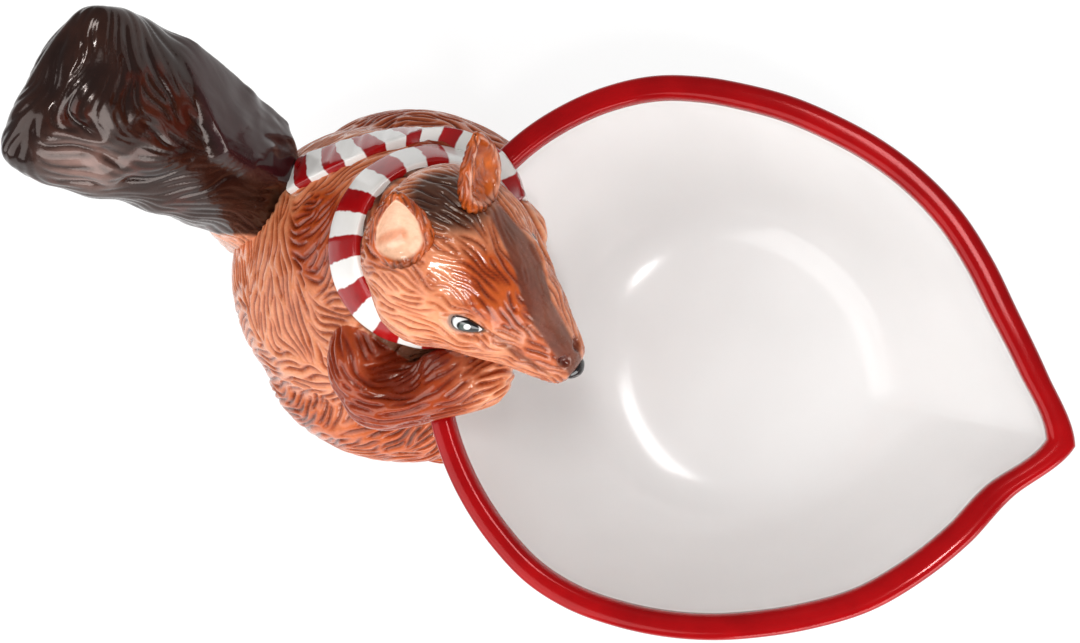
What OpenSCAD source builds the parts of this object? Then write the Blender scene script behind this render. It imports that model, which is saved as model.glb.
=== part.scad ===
// Porcelain nut dish with a squirrel sitting at its round end, forepaws on the rim.
// +X runs from the squirrel to the dish's pointed tip, +Z is up, and the foot ring stands on z = 0.

/* [Bowl] */
// Width across the round part of the rim
bowl_w = 164; // [150:1:180]
// Reach of the pointed tip beyond the round part's centre
tip_reach = 109; // [100:1:118]
// Height of the rim above the table
bowl_h = 70; // [62:1:78]
// Thickness of the wall
bowl_wall = 4.8; // [4:0.1:6]
// Width of the rounded rim
rim_w = 7.4; // [6.5:0.1:8.5]
// Diameter of the flat inside
well_d = 88; // [78:1:98]
// How far the well lies from the round part's centre, towards the tip
well_shift = 10; // [6:0.5:14]
// Diameter of the foot ring
foot_ring_d = 94; // [84:1:102]
// Height of the foot ring
foot_ring_h = 3; // [2.4:0.1:4]
// Width of the foot ring's standing face
foot_ring_w = 5; // [4:0.1:6.5]

/* [Body] */
// Depth of the trunk, from rump to chest
body_l = 98; // [88:1:108]
// Width of the trunk
body_w = 98; // [88:1:108]
// Height at which the neck ends
neck_h = 100; // [92:1:108]
// Diameter of the neck
neck_d = 56; // [50:1:62]
// Wall of the hollow casting
body_wall = 5; // [4:0.1:6.5]
// Diameter of the pour hole in the base
pour_d = 16; // [10:0.5:22]

/* [Legs] */
// Length of the haunch
haunch_l = 72; // [64:1:80]
// Height of the haunch
haunch_h = 54; // [48:1:60]
// Thickness of the haunch
haunch_t = 44; // [39:1:49]
// Length of the hind foot
foot_l = 52; // [46:1:58]
// Width of the hind foot
foot_w = 19; // [17:0.5:21]
// Height of the hind foot
foot_h = 15; // [13:0.5:17]

/* [Arms] */
// Diameter of the upper arm
arm_d = 22; // [20:0.5:24]
// Diameter of the wrist
wrist_d = 16; // [14:0.5:18]
// How far the elbow stands out from the squirrel's middle
elbow_out = 36; // [32:0.5:40]
// How far the paw reaches in past the rim
paw_reach = 24; // [20:0.5:28]

/* [Head] */
// Length from the nape to the nose
head_l = 72; // [65:1:79]
// Width over the cheeks
head_w = 48; // [43:1:53]
// Height from crown to throat
head_h = 41; // [37:1:45]
// Turn of the head to its right
head_turn = 28; // [23:1:33]
// Drop of the snout
head_drop = 22; // [17:1:27]
// Tilt of the crown to its left
head_tilt = 27; // [22:1:32]
// Diameter of the eyeball
eye_d = 11; // [9.5:0.5:12.5]
// Diameter of the nose
nose_d = 7.5; // [6.5:0.5:8.5]
// Length of the ear
ear_l = 24; // [21:0.5:27]
// Width of the ear
ear_w = 17; // [15:0.5:19]
// Thickness of the ear
ear_t = 7; // [6:0.25:8]

/* [Tail] */
// Height of the tail's top
tail_h = 150; // [136:1:164]
// Width of the tail's upper part
tail_w = 51; // [46:1:56]
// Depth of the tail, front to back
tail_t = 36; // [32:1:40]
// Turn of the tail's left side towards the head
tail_turn = 24; // [14:1:34]

/* [Scarf] */
// Width of the scarf
scarf_w = 15; // [13.5:0.5:16.5]
// Thickness of the scarf
scarf_t = 4.4; // [3.8:0.1:5]

/* [Hidden] */

// One overrun serves all cuts
overrun = 1;
white = "white";
fur = "chocolate";
dark_fur = "#3b2420";
red = "firebrick";

// Smooth curve through a list of values, with t from 0 to 1
function held(i, n) = min(max(i, 0), n - 1);
function smooth_at(list, t) =
  let (n = len(list), s = t * (n - 1), i = min(floor(s), n - 2), f = s - i,
       a = list[held(i - 1, n)], b = list[i], c = list[i + 1], d = list[held(i + 2, n)])
  b + (c - a) * f / 2 + (2 * a - 5 * b + 4 * c - d) * f * f / 2 + (3 * b - a - 3 * c + d) * f * f * f / 2;
function unit(v) = v / norm(v);
function first(v, k) = [for (i = [0 : k - 1]) v[i]];

// Solid through a list of rings, closed at both ends
module skin(rings) {
  n = len(rings[0]);
  m = len(rings);
  side = [for (j = [0 : m - 2], i = [0 : n - 1]) each
            [[j * n + i, (j + 1) * n + i, (j + 1) * n + (i + 1) % n],
             [j * n + i, (j + 1) * n + (i + 1) % n, j * n + (i + 1) % n]]];
  caps = [[for (i = [0 : n - 1]) i], [for (i = [n - 1 : -1 : 0]) (m - 1) * n + i]];
  polyhedron(points = [for (r = rings) each r], faces = concat(side, caps), convexity = 6);
}

// Solid through rings that run round to the first again
module hoop(rings) {
  n = len(rings[0]);
  m = len(rings);
  side = [for (j = [0 : m - 1], i = [0 : n - 1]) let (k = (j + 1) % m) each
            [[j * n + i, k * n + i, k * n + (i + 1) % n],
             [j * n + i, k * n + (i + 1) % n, j * n + (i + 1) % n]]];
  polyhedron(points = [for (r = rings) each r], faces = side, convexity = 6);
}

// Rings of a limb, closer together at its round ends. A station is [x, y, z, half width, half height],
// and side points across the limb
end_share = 0.012;
function spaced(k, m) = end_share + (1 - 2 * end_share) * (1 - cos(180 * k / m)) / 2;
look_share = 0.02;
function limb_ring(stations, side, t, n) =
  let (s = smooth_at(stations, t),
       ahead = smooth_at(stations, min(t + look_share, 1)),
       behind = smooth_at(stations, max(t - look_share, 0)),
       dir = unit(first(ahead, 3) - first(behind, 3)),
       across = unit(side - dir * (side * dir)), top = cross(dir, across))
  [for (i = [0 : n - 1]) let (w = 360 * i / n)
     first(s, 3) + across * s[3] * cos(w) + top * s[4] * sin(w)];
module limb(stations, side, m, n) {
  skin([for (k = [0 : m]) limb_ring(stations, side, spaced(k, m), n)]);
}

// Dish: its outline grows from the well's circle to the rim's nut shape.
// Shares of the growth from round part to tip, one for every ten degrees from the tip round to the back
tip_right_shares = [1, 0.61, 0.47, 0.36, 0.27, 0.16, 0.08, 0.04, 0.02, 0.02,
                    0.04, 0.04, 0, -0.03, -0.05, -0.06, -0.06, -0.04, 0];
tip_left_shares = [1, 0.65, 0.4, 0.27, 0.18, 0.09, 0.01, -0.05, -0.07, -0.07,
                   -0.03, 0.02, 0.04, 0.05, 0.06, 0.06, 0.04, 0.02, 0];
// Height and spread shares up the wall
wall_shares = [[0, 0.02], [0.03, 0.12], [0.09, 0.25], [0.2, 0.41], [0.36, 0.58], [0.55, 0.74], [0.75, 0.88], [0.9, 0.97]];
// The wall's level thickness, as a share of its true one
level_wall_share = 1.14;
rim_n = 60;
rim_r = bowl_w / 2;
well_r = well_d / 2;
rim_rise = rim_w / 2;
wall_top = bowl_h - rim_rise;
floor_z = foot_ring_h + bowl_wall;
function rim_at(w) =
  let (share = smooth_at(w > 180 ? tip_right_shares : tip_left_shares, (w > 180 ? 360 - w : w) / 180))
  rim_r + (tip_reach - rim_r) * share;
function dish_ring(z, spread, outset) =
  [for (i = [0 : rim_n - 1])
     let (w = 360 * i / rim_n, r = well_r + (rim_at(w) - rim_w - well_r) * spread + outset)
       [well_shift * (1 - spread) + r * cos(w), r * sin(w), z]];
function outer_z(s) = foot_ring_h + (wall_top - rim_w - foot_ring_h) * s;
outer_rings = [for (s = wall_shares) dish_ring(outer_z(s[0]), s[1], bowl_wall * level_wall_share)];
rim_rings = [for (a = [0 : 30 : 180]) dish_ring(wall_top + rim_rise * sin(a), 1, rim_rise * (1 + cos(a)))];
inner_rings = [for (k = [len(wall_shares) - 1 : -1 : 0])
  dish_ring(floor_z + (wall_top - floor_z) * wall_shares[k][0], wall_shares[k][1], 0)];
// The dish as if full to the rim, which cuts what leans on it from outside
module full_dish() {
  skin(concat(outer_rings, [for (k = [0 : 3]) rim_rings[k]]));
}
module dish_shell() {
  skin(concat(outer_rings, rim_rings, inner_rings));
}

// The squirrel's seat, behind the round end of the rim
seat_share = 0.42;
seat_x = -(rim_r + seat_share * body_l);
// The middle of the whole length and width stands on the origin
tail_reach_share = 0.621;
tail_back = seat_x - tail_reach_share * body_l;
middle_x = (tip_reach + tail_back) / 2;
rim_ys = [for (p = rim_rings[0]) p.y];
middle_y = (max(rim_ys) + min(rim_ys)) / 2;
module placed() {
  translate([-middle_x, -middle_y, 0]) children();
}
// What stands on the table is level with it
floor_cut = 4 * body_l;
module above_table() {
  difference() {
    children();
    translate([-floor_cut, -floor_cut / 2, -floor_cut]) cube([floor_cut, floor_cut, floor_cut]);
  }
}

// Trunk and neck: [forward, left, height, half depth behind, half width, lean, half depth in front]. The trunk's
// depth and width are shares of the trunk, the neck's are shares of the neck
trunk_shares = [[0.03, 0.01, 0, 0.4, 0.41, 0, 0.4], [0.03, 0.01, 0.11, 0.46, 0.48, 0, 0.47],
                [0.04, 0.01, 0.27, 0.5, 0.5, 2, 0.5], [0.08, 0.015, 0.43, 0.47, 0.49, 6, 0.46],
                [0.15, 0.025, 0.57, 0.4, 0.45, 10, 0.38]];
neck_shares = [[0.28, 0.065, 0.69, 0.61, 0.665, 15, 0.5], [0.405, 0.1, 0.78, 0.53, 0.555, 21, 0.5],
               [0.495, 0.12, 0.86, 0.47, 0.475, 27, 0.42], [0.55, 0.13, 0.94, 0.37, 0.37, 31, 0.37],
               [0.58, 0.135, 0.985, 0.22, 0.22, 33, 0.22], [0.59, 0.135, 1, 0.08, 0.08, 33, 0.08]];
function trunk_station(s, depth, width) =
  [seat_x + s[0] * body_l, s[1] * body_w, s[2] * neck_h, s[3] * depth, s[4] * width, s[5], s[6] * depth];
body_stations = concat([for (s = trunk_shares) trunk_station(s, body_l, body_w)],
                       [for (s = neck_shares) trunk_station(s, neck_d, neck_d)]);
// Point on the trunk at t up the back and w degrees round from the chest, drawn in by inset
function body_point(t, w, inset) =
  let (s = smooth_at(body_stations, t), depth = cos(w) > 0 ? s[6] : s[3])
  first(s, 3) + [cos(s[5]), 0, -sin(s[5])] * (depth - inset) * cos(w) + [0, s[4] - inset, 0] * sin(w);
function body_ring(t, inset, n) = [for (i = [0 : n - 1]) body_point(t, 360 * i / n, inset)];
body_n = 32;
body_m = 20;
hollow_n = 16;
hollow_m = 10;
// The hollow runs from just over the base to the foot of the neck
hollow_from_share = 0.07;
hollow_to_share = 0.76;
module body_outside() {
  skin([for (k = [0 : body_m]) body_ring(k / body_m, 0, body_n)]);
}
module body_hollow() {
  skin([for (k = [0 : hollow_m])
          body_ring(hollow_from_share + (hollow_to_share - hollow_from_share) * k / hollow_m, body_wall, hollow_n)]);
}

// Left haunch and foot, beside the trunk: [forward, out, height, half width, half height] in shares
haunch_shares = [[-0.44, -0.1, 0.38, 0.1, 0.12], [-0.38, -0.05, 0.42, 0.26, 0.3], [-0.22, 0.02, 0.48, 0.44, 0.46],
                 [0.02, 0.08, 0.48, 0.5, 0.5], [0.24, 0.12, 0.4, 0.44, 0.43], [0.42, 0.14, 0.29, 0.3, 0.3],
                 [0.5, 0.14, 0.24, 0.1, 0.1]];
haunch_out_share = 0.36;
haunch_forward_share = 0.13;
haunch_stations = [for (s = haunch_shares)
  [seat_x + haunch_forward_share * body_l + s[0] * haunch_l, haunch_out_share * body_w + s[1] * haunch_t,
   s[2] * haunch_h, s[3] * haunch_t, s[4] * haunch_h]];
foot_shares = [[-0.5, -0.1, 0.4, 0.14, 0.14], [-0.42, -0.08, 0.42, 0.34, 0.34], [-0.15, 0, 0.46, 0.48, 0.48],
               [0.15, 0.02, 0.44, 0.5, 0.5], [0.36, 0, 0.38, 0.46, 0.42], [0.5, -0.04, 0.34, 0.16, 0.16]];
foot_out_share = 0.5;
foot_forward_share = 0.23;
foot_stations = [for (s = foot_shares)
  [seat_x + foot_forward_share * body_l + s[0] * foot_l, foot_out_share * body_w + s[1] * foot_w,
   s[2] * foot_h, s[3] * foot_w, s[4] * foot_h]];
module haunch() {
  limb(haunch_stations, [0, 1, 0], 12, 18);
}
module foot() {
  limb(foot_stations, [0, 1, 0], 8, 14);
}

// Left arm: shoulder, elbow, over the rim and down inside it. Places past the elbow are [angle, radius]
// about the round part's centre
arm_r = arm_d / 2;
wrist_r = wrist_d / 2;
paw_r = rim_r - rim_w - paw_reach;
rest_z = bowl_h + 0.7 * wrist_r;
function round_part(angle, r, z) = [-r * cos(angle), r * sin(angle), z];
forearm_angle = 22.8;
paw_angle = 21;
upper_arm_stations = [
  [seat_x + 0.3 * body_l, elbow_out - 2 * arm_r, 0.76 * neck_h, 0.7 * arm_r, 0.7 * arm_r],
  [seat_x + 0.31 * body_l, elbow_out - arm_r, 0.755 * neck_h, 1.05 * arm_r, 1.05 * arm_r],
  [seat_x + 0.35 * body_l, elbow_out - 0.3 * arm_r, 0.735 * neck_h, 1.05 * arm_r, 1.05 * arm_r],
  [seat_x + 0.375 * body_l, elbow_out + 0.35 * arm_r, 0.73 * neck_h, 0.7 * arm_r, 0.75 * arm_r],
  [seat_x + 0.38 * body_l, elbow_out + 0.6 * arm_r, 0.725 * neck_h, 0.2 * arm_r, 0.25 * arm_r]];
forearm_stations = [
  [-rim_r - 1.3 * arm_r, elbow_out - 0.1 * arm_r, 0.72 * neck_h, 0.2 * arm_r, 0.2 * arm_r],
  [-rim_r - 1.1 * arm_r, elbow_out - 0.1 * arm_r, 0.725 * neck_h, 0.7 * arm_r, 0.65 * arm_r],
  [-rim_r - 0.4 * arm_r, elbow_out - 0.05 * arm_r, 0.735 * neck_h, arm_r, 0.95 * arm_r],
  [-rim_r + 0.5 * arm_r, elbow_out - 0.3 * arm_r, rest_z - 0.2 * wrist_r, 1.45 * wrist_r, 1.2 * wrist_r],
  concat(round_part(forearm_angle, rim_r - rim_w, rest_z), [1.35 * wrist_r, 1.15 * wrist_r]),
  concat(round_part(forearm_angle, paw_r + 0.5 * paw_reach, rest_z), [1.3 * wrist_r, 1.08 * wrist_r]),
  concat(round_part(paw_angle, paw_r + 0.2 * paw_reach, rest_z - 0.2 * wrist_r), [1.1 * wrist_r, wrist_r]),
  concat(round_part(paw_angle, paw_r + 0.04 * paw_reach, rest_z - 0.5 * wrist_r), [0.5 * wrist_r, 0.6 * wrist_r]),
  concat(round_part(paw_angle, paw_r, rest_z - 0.6 * wrist_r), [0.15 * wrist_r, 0.15 * wrist_r])];
module arm() {
  limb(upper_arm_stations, [0, 0, 1], 8, 12);
  limb(forearm_stations, [0, 0, 1], 12, 14);
}
// Keeps a left limb on the left, or gives its mirror image on the right
module on_squirrel(side) {
  mirror([0, side < 0 ? 1 : 0, 0]) children();
}

// Head in its own frame: +X to the nose, +Y to its left, +Z to the crown
head_shares = [[-0.36, 0.02, 0.08, 0.08], [-0.335, 0.02, 0.24, 0.25], [-0.25, 0.02, 0.41, 0.41], [-0.08, 0.02, 0.5, 0.5],
               [0.1, 0.01, 0.475, 0.48], [0.25, -0.03, 0.395, 0.41], [0.39, -0.09, 0.285, 0.32], [0.51, -0.14, 0.21, 0.24],
               [0.59, -0.17, 0.165, 0.18], [0.63, -0.175, 0.12, 0.13], [0.64, -0.175, 0.04, 0.04]];
head_stations = [for (s = head_shares) [s[0] * head_l, 0, s[1] * head_h, s[2] * head_w, s[3] * head_h]];
skull_at = [seat_x + 0.635 * body_l, 0.09 * body_w, 1.04 * neck_h];
module on_head() {
  translate(skull_at) rotate([0, 0, -head_turn]) rotate([0, head_drop, 0]) rotate([-head_tilt, 0, 0]) children();
}
module head_solid() {
  limb(head_stations, [0, 1, 0], 18, 24);
}
eye_at = [0.17 * head_l, 0.29 * head_w, 0.21 * head_h];
nose_at = [0.615 * head_l, 0, -0.13 * head_h];

// Left ear in the head's frame: a leaf with a hollowed front
ear_shares = [[0, 0.3, 0.4], [0.12, 0.4, 0.5], [0.35, 0.5, 0.5], [0.62, 0.42, 0.42], [0.85, 0.24, 0.3], [1, 0.06, 0.1]];
ear_stations = [for (s = ear_shares) [0, 0, s[0] * ear_l, s[1] * ear_w, s[2] * ear_t]];
left_ear_at = [-0.075 * head_l, 0.21 * head_w, 0.43 * head_h];
right_ear_at = [-0.155 * head_l, -0.3 * head_w, 0.32 * head_h];
// How far each ear leans out and back, and how far its hollow turns outwards
left_ear_angles = [14, 34, 15];
right_ear_angles = [-14, 34, 42];
cup_out_share = 0.62;
cup_up_share = 0.5;
cup_w_share = 0.72;
cup_l_share = 0.64;
module ear_leaf() {
  limb(ear_stations, [0, 1, 0], 8, 12);
}
module on_ear(side) {
  lean = side > 0 ? left_ear_angles : right_ear_angles;
  translate(side > 0 ? left_ear_at : right_ear_at)
    rotate([-side * lean[0], -lean[1], 0]) rotate([0, 0, side * lean[2]]) children();
}

// Tail: [back, left, height, half width, half depth], up from the rump
tail_shares = [[-0.25, 0.08, 0.11, 0.22, 0.3], [-0.375, 0.09, 0.14, 0.27, 0.4], [-0.415, 0.11, 0.21, 0.31, 0.48],
               [-0.37, 0.14, 0.31, 0.33, 0.52], [-0.31, 0.185, 0.413, 0.36, 0.48], [-0.32, 0.225, 0.547, 0.42, 0.45],
               [-0.37, 0.26, 0.693, 0.48, 0.42], [-0.43, 0.28, 0.827, 0.53, 0.38], [-0.47, 0.285, 0.92, 0.54, 0.32],
               [-0.49, 0.285, 0.98, 0.45, 0.2], [-0.495, 0.285, 1, 0.1, 0.06]];
tail_stations = [for (s = tail_shares)
  [seat_x + s[0] * body_l, s[1] * body_w, s[2] * tail_h, s[3] * tail_w, s[4] * tail_t]];
module tail_solid() {
  limb(tail_stations, [sin(tail_turn), cos(tail_turn), 0], 18, 24);
}

// Scarf: a band on the trunk along a path of [t, w, lift] places, sunk a little into it and thicker by lift
band_sides = 10;
sunk_share = 0.2;
step_share = 0.01;
function band_point(place) = body_point(place[0], place[1], 0);
function band_ring(path, s) =
  let (here = smooth_at(path, s), p = band_point(here),
       ahead = smooth_at(path, min(s + step_share, 1)), behind = smooth_at(path, max(s - step_share, 0)),
       run = unit(band_point(ahead) - band_point(behind)),
       up = body_point(here[0] + step_share, here[1], 0) - body_point(here[0], here[1], 0),
       round = body_point(here[0], here[1] + 1, 0) - body_point(here[0], here[1], 0),
       out = unit(cross(round, up)), across = unit(cross(out, run)))
  [for (i = [0 : band_sides - 1]) let (w = 360 * i / band_sides)
     p + out * scarf_t * (sin(w) / 2 + sunk_share + (sin(w) < 0 ? 0 : here[2])) + across * cos(w) * scarf_w / 2];
ring_share = 0.7;
ring_n = 36;
module ring_band() {
  hoop([for (i = [0 : ring_n - 1]) band_ring([[ring_share, 0, 0], [ring_share, 360, 0]], i / ring_n)]);
}
// The loose end comes from the throat over the left shoulder, then down the back to the tail
end_path = [[0.69, 38, 0.8], [0.67, 48, 1.1], [0.64, 58, 1.4], [0.59, 70, 1.5], [0.55, 82, 1.2], [0.53, 95, 0.6],
            [0.53, 109, 0.2], [0.525, 124, 0], [0.5, 138, 0], [0.45, 150, 0]];
end_n = 24;
module end_band() {
  skin([for (i = [0 : end_n]) band_ring(end_path, i / end_n)]);
}

module bowl() {
  color(white) placed() difference() {
    union() {
      dish_shell();
      translate([well_shift, 0, 0]) cylinder(d = foot_ring_d, h = floor_z - bowl_wall / 2, $fn = 96);
    }
    translate([well_shift, 0, -overrun])
      cylinder(d = foot_ring_d - 2 * foot_ring_w, h = foot_ring_h + overrun, $fn = 96);
  }
}
module body() {
  color(fur) placed() difference() {
    body_outside();
    body_hollow();
    translate([seat_x, 0, -overrun]) cylinder(d = pour_d, h = neck_h / 4, $fn = 48);
    full_dish();
  }
}
module haunch_piece(side) {
  color(fur) placed() above_table() difference() {
    on_squirrel(side) haunch();
    body_outside();
    full_dish();
  }
}
module foot_piece(side) {
  color(fur) placed() above_table() difference() {
    on_squirrel(side) foot();
    on_squirrel(side) haunch();
    body_outside();
    full_dish();
  }
}
module arm_piece(side) {
  color(fur) placed() difference() {
    on_squirrel(side) arm();
    body_outside();
    dish_shell();
    on_squirrel(side) haunch();
  }
}
module head() {
  color(fur) placed() difference() {
    on_head() union() {
      head_solid();
      translate(eye_at) sphere(d = eye_d, $fn = 24);
      translate([eye_at.x, -eye_at.y, eye_at.z]) sphere(d = eye_d, $fn = 24);
      translate(nose_at) sphere(d = nose_d, $fn = 20);
    }
    body_outside();
  }
}
module ear_piece(side) {
  color(fur) placed() on_head() difference() {
    on_ear(side) ear_leaf();
    on_ear(side) translate([cup_out_share * ear_t, 0, cup_up_share * ear_l])
      scale([1, cup_w_share * ear_w / ear_t, cup_l_share * ear_l / ear_t]) sphere(d = ear_t, $fn = 20);
    head_solid();
  }
}
module tail() {
  color(dark_fur) placed() difference() {
    tail_solid();
    body_outside();
  }
}
module scarf_ring() {
  color(red) placed() difference() {
    ring_band();
    body_outside();
    on_head() head_solid();
    on_squirrel(1) arm();
    on_squirrel(-1) arm();
  }
}
module scarf_end() {
  color(red) placed() difference() {
    end_band();
    body_outside();
    ring_band();
    tail_solid();
    on_head() head_solid();
    on_squirrel(1) arm();
    full_dish();
  }
}

module left_haunch() { haunch_piece(1); }
module right_haunch() { haunch_piece(-1); }
module left_foot() { foot_piece(1); }
module right_foot() { foot_piece(-1); }
module left_arm() { arm_piece(1); }
module right_arm() { arm_piece(-1); }
module left_ear() { ear_piece(1); }
module right_ear() { ear_piece(-1); }

bowl();
body();
left_haunch();
right_haunch();
left_foot();
right_foot();
left_arm();
right_arm();
head();
left_ear();
right_ear();
tail();
scarf_ring();
scarf_end();
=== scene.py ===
import itertools
import math

import bpy
import numpy as np
from mathutils import Matrix, Vector
from mathutils.bvhtree import BVHTree
from mathutils.kdtree import KDTree


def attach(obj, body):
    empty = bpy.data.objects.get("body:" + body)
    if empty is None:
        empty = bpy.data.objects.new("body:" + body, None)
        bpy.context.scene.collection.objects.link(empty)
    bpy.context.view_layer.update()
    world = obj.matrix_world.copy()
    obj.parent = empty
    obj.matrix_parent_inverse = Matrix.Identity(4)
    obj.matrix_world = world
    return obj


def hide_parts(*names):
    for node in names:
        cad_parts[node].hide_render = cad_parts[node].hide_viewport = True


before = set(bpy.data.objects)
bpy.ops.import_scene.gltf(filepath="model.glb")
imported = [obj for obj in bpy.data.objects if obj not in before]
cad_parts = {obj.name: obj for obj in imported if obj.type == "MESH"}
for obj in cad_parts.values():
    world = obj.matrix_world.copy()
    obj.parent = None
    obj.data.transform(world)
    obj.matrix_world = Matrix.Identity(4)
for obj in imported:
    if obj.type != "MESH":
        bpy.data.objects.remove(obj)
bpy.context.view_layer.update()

# Lengths are in millimetres and angles in degrees; only the camera, floor and lights are in metres.
MM = 0.001
SEED = 71
MIRROR = np.array([1, -1, 1])  # the squirrel's left side is +Y, its right side -Y

# The object's sizes, the same as in the CAD source
BOWL_W, TIP_REACH, BOWL_H, BOWL_WALL, RIM_W = 164.0, 109.0, 70.0, 4.8, 7.4
WELL_D, WELL_SHIFT, FOOT_RING_D, FOOT_RING_H, FOOT_RING_W = 88.0, 10.0, 94.0, 3.0, 5.0
BODY_L, BODY_W, NECK_H, NECK_D, POUR_D = 98.0, 98.0, 100.0, 56.0, 16.0
HAUNCH_L, HAUNCH_H, HAUNCH_T = 72.0, 54.0, 44.0
FOOT_L, FOOT_W, FOOT_H = 52.0, 19.0, 15.0
ARM_D, WRIST_D, ELBOW_OUT, PAW_REACH = 22.0, 16.0, 36.0, 24.0
HEAD_L, HEAD_W, HEAD_H, HEAD_TURN, HEAD_DROP, HEAD_TILT = 72.0, 48.0, 41.0, 28.0, 22.0, 27.0
EAR_L, EAR_W, EAR_T, NOSE_D = 24.0, 17.0, 7.0, 7.5
TAIL_H, TAIL_W, TAIL_T, TAIL_TURN = 150.0, 51.0, 36.0, 24.0
SCARF_W, SCARF_T = 15.0, 4.4

RIM_R, WELL_R, ARM_R, WRIST_R = BOWL_W / 2, WELL_D / 2, ARM_D / 2, WRIST_D / 2
SEAT_X = -(RIM_R + 0.42 * BODY_L)
MIDDLE_X = (TIP_REACH + SEAT_X - 0.621 * BODY_L) / 2
RIM_RISE = RIM_W / 2
WALL_TOP = BOWL_H - RIM_RISE
FLOOR_Z = FOOT_RING_H + BOWL_WALL
FOOT_R = FOOT_RING_D / 2
WALL_OUT = BOWL_WALL * 1.14  # the wall's thickness along the level, where it slants


# Small helpers
def spline(table, share):
    """Rows of a table at shares from 0 to 1, on a smooth curve through them."""
    rows = np.asarray(table, float)
    rows = rows[:, None] if rows.ndim == 1 else rows
    last = len(rows) - 1
    place = np.clip(np.atleast_1d(share), 0, 1) * last
    index = np.minimum(np.floor(place).astype(int), last - 1)
    f = (place - index)[:, None]
    a, b = rows[np.clip(index - 1, 0, last)], rows[index]
    c, d = rows[index + 1], rows[np.clip(index + 2, 0, last)]
    return b + (c - a) * f / 2 + (2 * a - 5 * b + 4 * c - d) * f**2 / 2 + (3 * b - a - 3 * c + d) * f**3 / 2


def unit(v):
    return v / np.maximum(np.linalg.norm(v, axis=-1, keepdims=True), 1e-9)


def turned(axis, degrees):
    return np.array(Matrix.Rotation(math.radians(degrees), 3, axis))


def noise(points, size, seed):
    """Smooth noise from -1 to 1, with features about size mm wide."""
    q = np.asarray(points, float) / np.asarray(size, float)
    cell = np.floor(q).astype(np.int64)
    f = q - cell
    f = f * f * (3 - 2 * f)
    total = np.zeros(len(q))
    for corner in itertools.product((0, 1), repeat=3):
        c = cell + np.array(corner)
        h = c[:, 0] * 73856093 ^ c[:, 1] * 19349663 ^ c[:, 2] * 83492791 ^ (seed * 2654435761)
        h = ((h ^ (h >> 13)) * 1274126177) & 0x7FFFFFFF
        h = (h ^ (h >> 15)) & 0xFFFFF
        weight = np.prod(np.where(corner, f, 1 - f), axis=1)
        total += weight * (h / 0x7FFFF - 1)
    return total


def smoothstep(low, high, x):
    t = np.clip((x - low) / (high - low), 0, 1)
    return t * t * (3 - 2 * t)


def linear(red, green, blue):
    """A colour as seen on a screen, each 0 to 255, as light."""
    c = np.array([red, green, blue], float) / 255
    return np.where(c <= 0.04045, c / 12.92, ((c + 0.055) / 1.055) ** 2.4)


def blend(a, b, amount):
    amount = np.asarray(amount)[..., None]
    return a * (1 - amount) + b * amount


def grid_faces(rows, columns, closed_rows=False):
    """Quads of a grid whose columns run round; with closed_rows its rows run round too."""
    i = np.arange(rows if closed_rows else rows - 1)[:, None]
    j = np.arange(columns)[None, :]
    i2, j2 = (i + 1) % rows, (j + 1) % columns
    quads = [i * columns + j, i * columns + j2, i2 * columns + j2, i2 * columns + j]
    return np.stack([np.broadcast_to(q, (i.size, j.size)).ravel() for q in quads], 1)


def closed_loft(rings):
    """Points and faces of a solid through the rings, its ends closed round a middle point."""
    m, n = rings.shape[:2]
    points = rings.reshape(-1, 3)
    quads = grid_faces(m, n)
    j = np.arange(n)
    start, end = m * n, m * n + 1
    first = np.stack([np.full(n, start), (j + 1) % n, j], 1)
    last = np.stack([np.full(n, end), (m - 1) * n + j, (m - 1) * n + (j + 1) % n], 1)
    points = np.vstack([points, rings[0].mean(0), rings[-1].mean(0)])
    return points, [quads, np.vstack([first, last])]


def build_mesh(name, points, face_sets):
    """A mesh in metres from points in mm and arrays of quads and triangles."""
    mesh = bpy.data.meshes.new(name)
    sets = [np.asarray(f) for f in face_sets if len(f)]
    loops = np.concatenate([f.ravel() for f in sets])
    sizes = np.concatenate([np.full(len(f), f.shape[1]) for f in sets])
    mesh.vertices.add(len(points))
    mesh.vertices.foreach_set("co", (np.asarray(points) * MM).astype(np.float32).ravel())
    mesh.loops.add(len(loops))
    mesh.loops.foreach_set("vertex_index", loops.astype(np.int32))
    mesh.polygons.add(len(sizes))
    mesh.polygons.foreach_set("loop_start", np.concatenate([[0], np.cumsum(sizes)[:-1]]).astype(np.int32))
    mesh.polygons.foreach_set("use_smooth", np.ones(len(sizes), bool))
    mesh.update(calc_edges=True)
    mesh.validate()
    return mesh


def new_object(name, data):
    thing = bpy.data.objects.new(name, data)
    bpy.context.scene.collection.objects.link(thing)
    return thing


def add_piece(name, points, face_sets, material, slot, nodes=(), normals=None, **attributes):
    """A piece from points in the dish's frame. It rides on the one body and stands for the CAD's nodes."""
    mesh = build_mesh(name, points + OFFSET, face_sets)
    for key, values in attributes.items():
        values = np.asarray(values, np.float32)
        if values.ndim == 1:
            mesh.attributes.new(key, "FLOAT", "POINT").data.foreach_set("value", values)
        else:
            rgba = np.hstack([values, np.ones((len(values), 1), np.float32)])
            mesh.attributes.new(key, "FLOAT_COLOR", "POINT").data.foreach_set("color", rgba.ravel())
    if normals is not None:
        mesh.normals_split_custom_set_from_vertices(normals.tolist())
    piece = new_object(name, mesh)
    mesh.materials.append(material)
    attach(piece, "root")
    if nodes:
        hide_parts(*nodes)
    return piece


# How far the rim reaches beyond a circle, every 10 degrees from the tip, as shares of the tip's own reach
TIP_RIGHT = [1, 0.61, 0.47, 0.36, 0.27, 0.16, 0.08, 0.04, 0.02, 0.02, 0.04, 0.04, 0, -0.03, -0.05, -0.06,
             -0.06, -0.04, 0]
TIP_LEFT = [1, 0.65, 0.4, 0.27, 0.18, 0.09, 0.01, -0.05, -0.07, -0.07, -0.03, 0.02, 0.04, 0.05, 0.06, 0.06,
            0.04, 0.02, 0]
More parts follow.
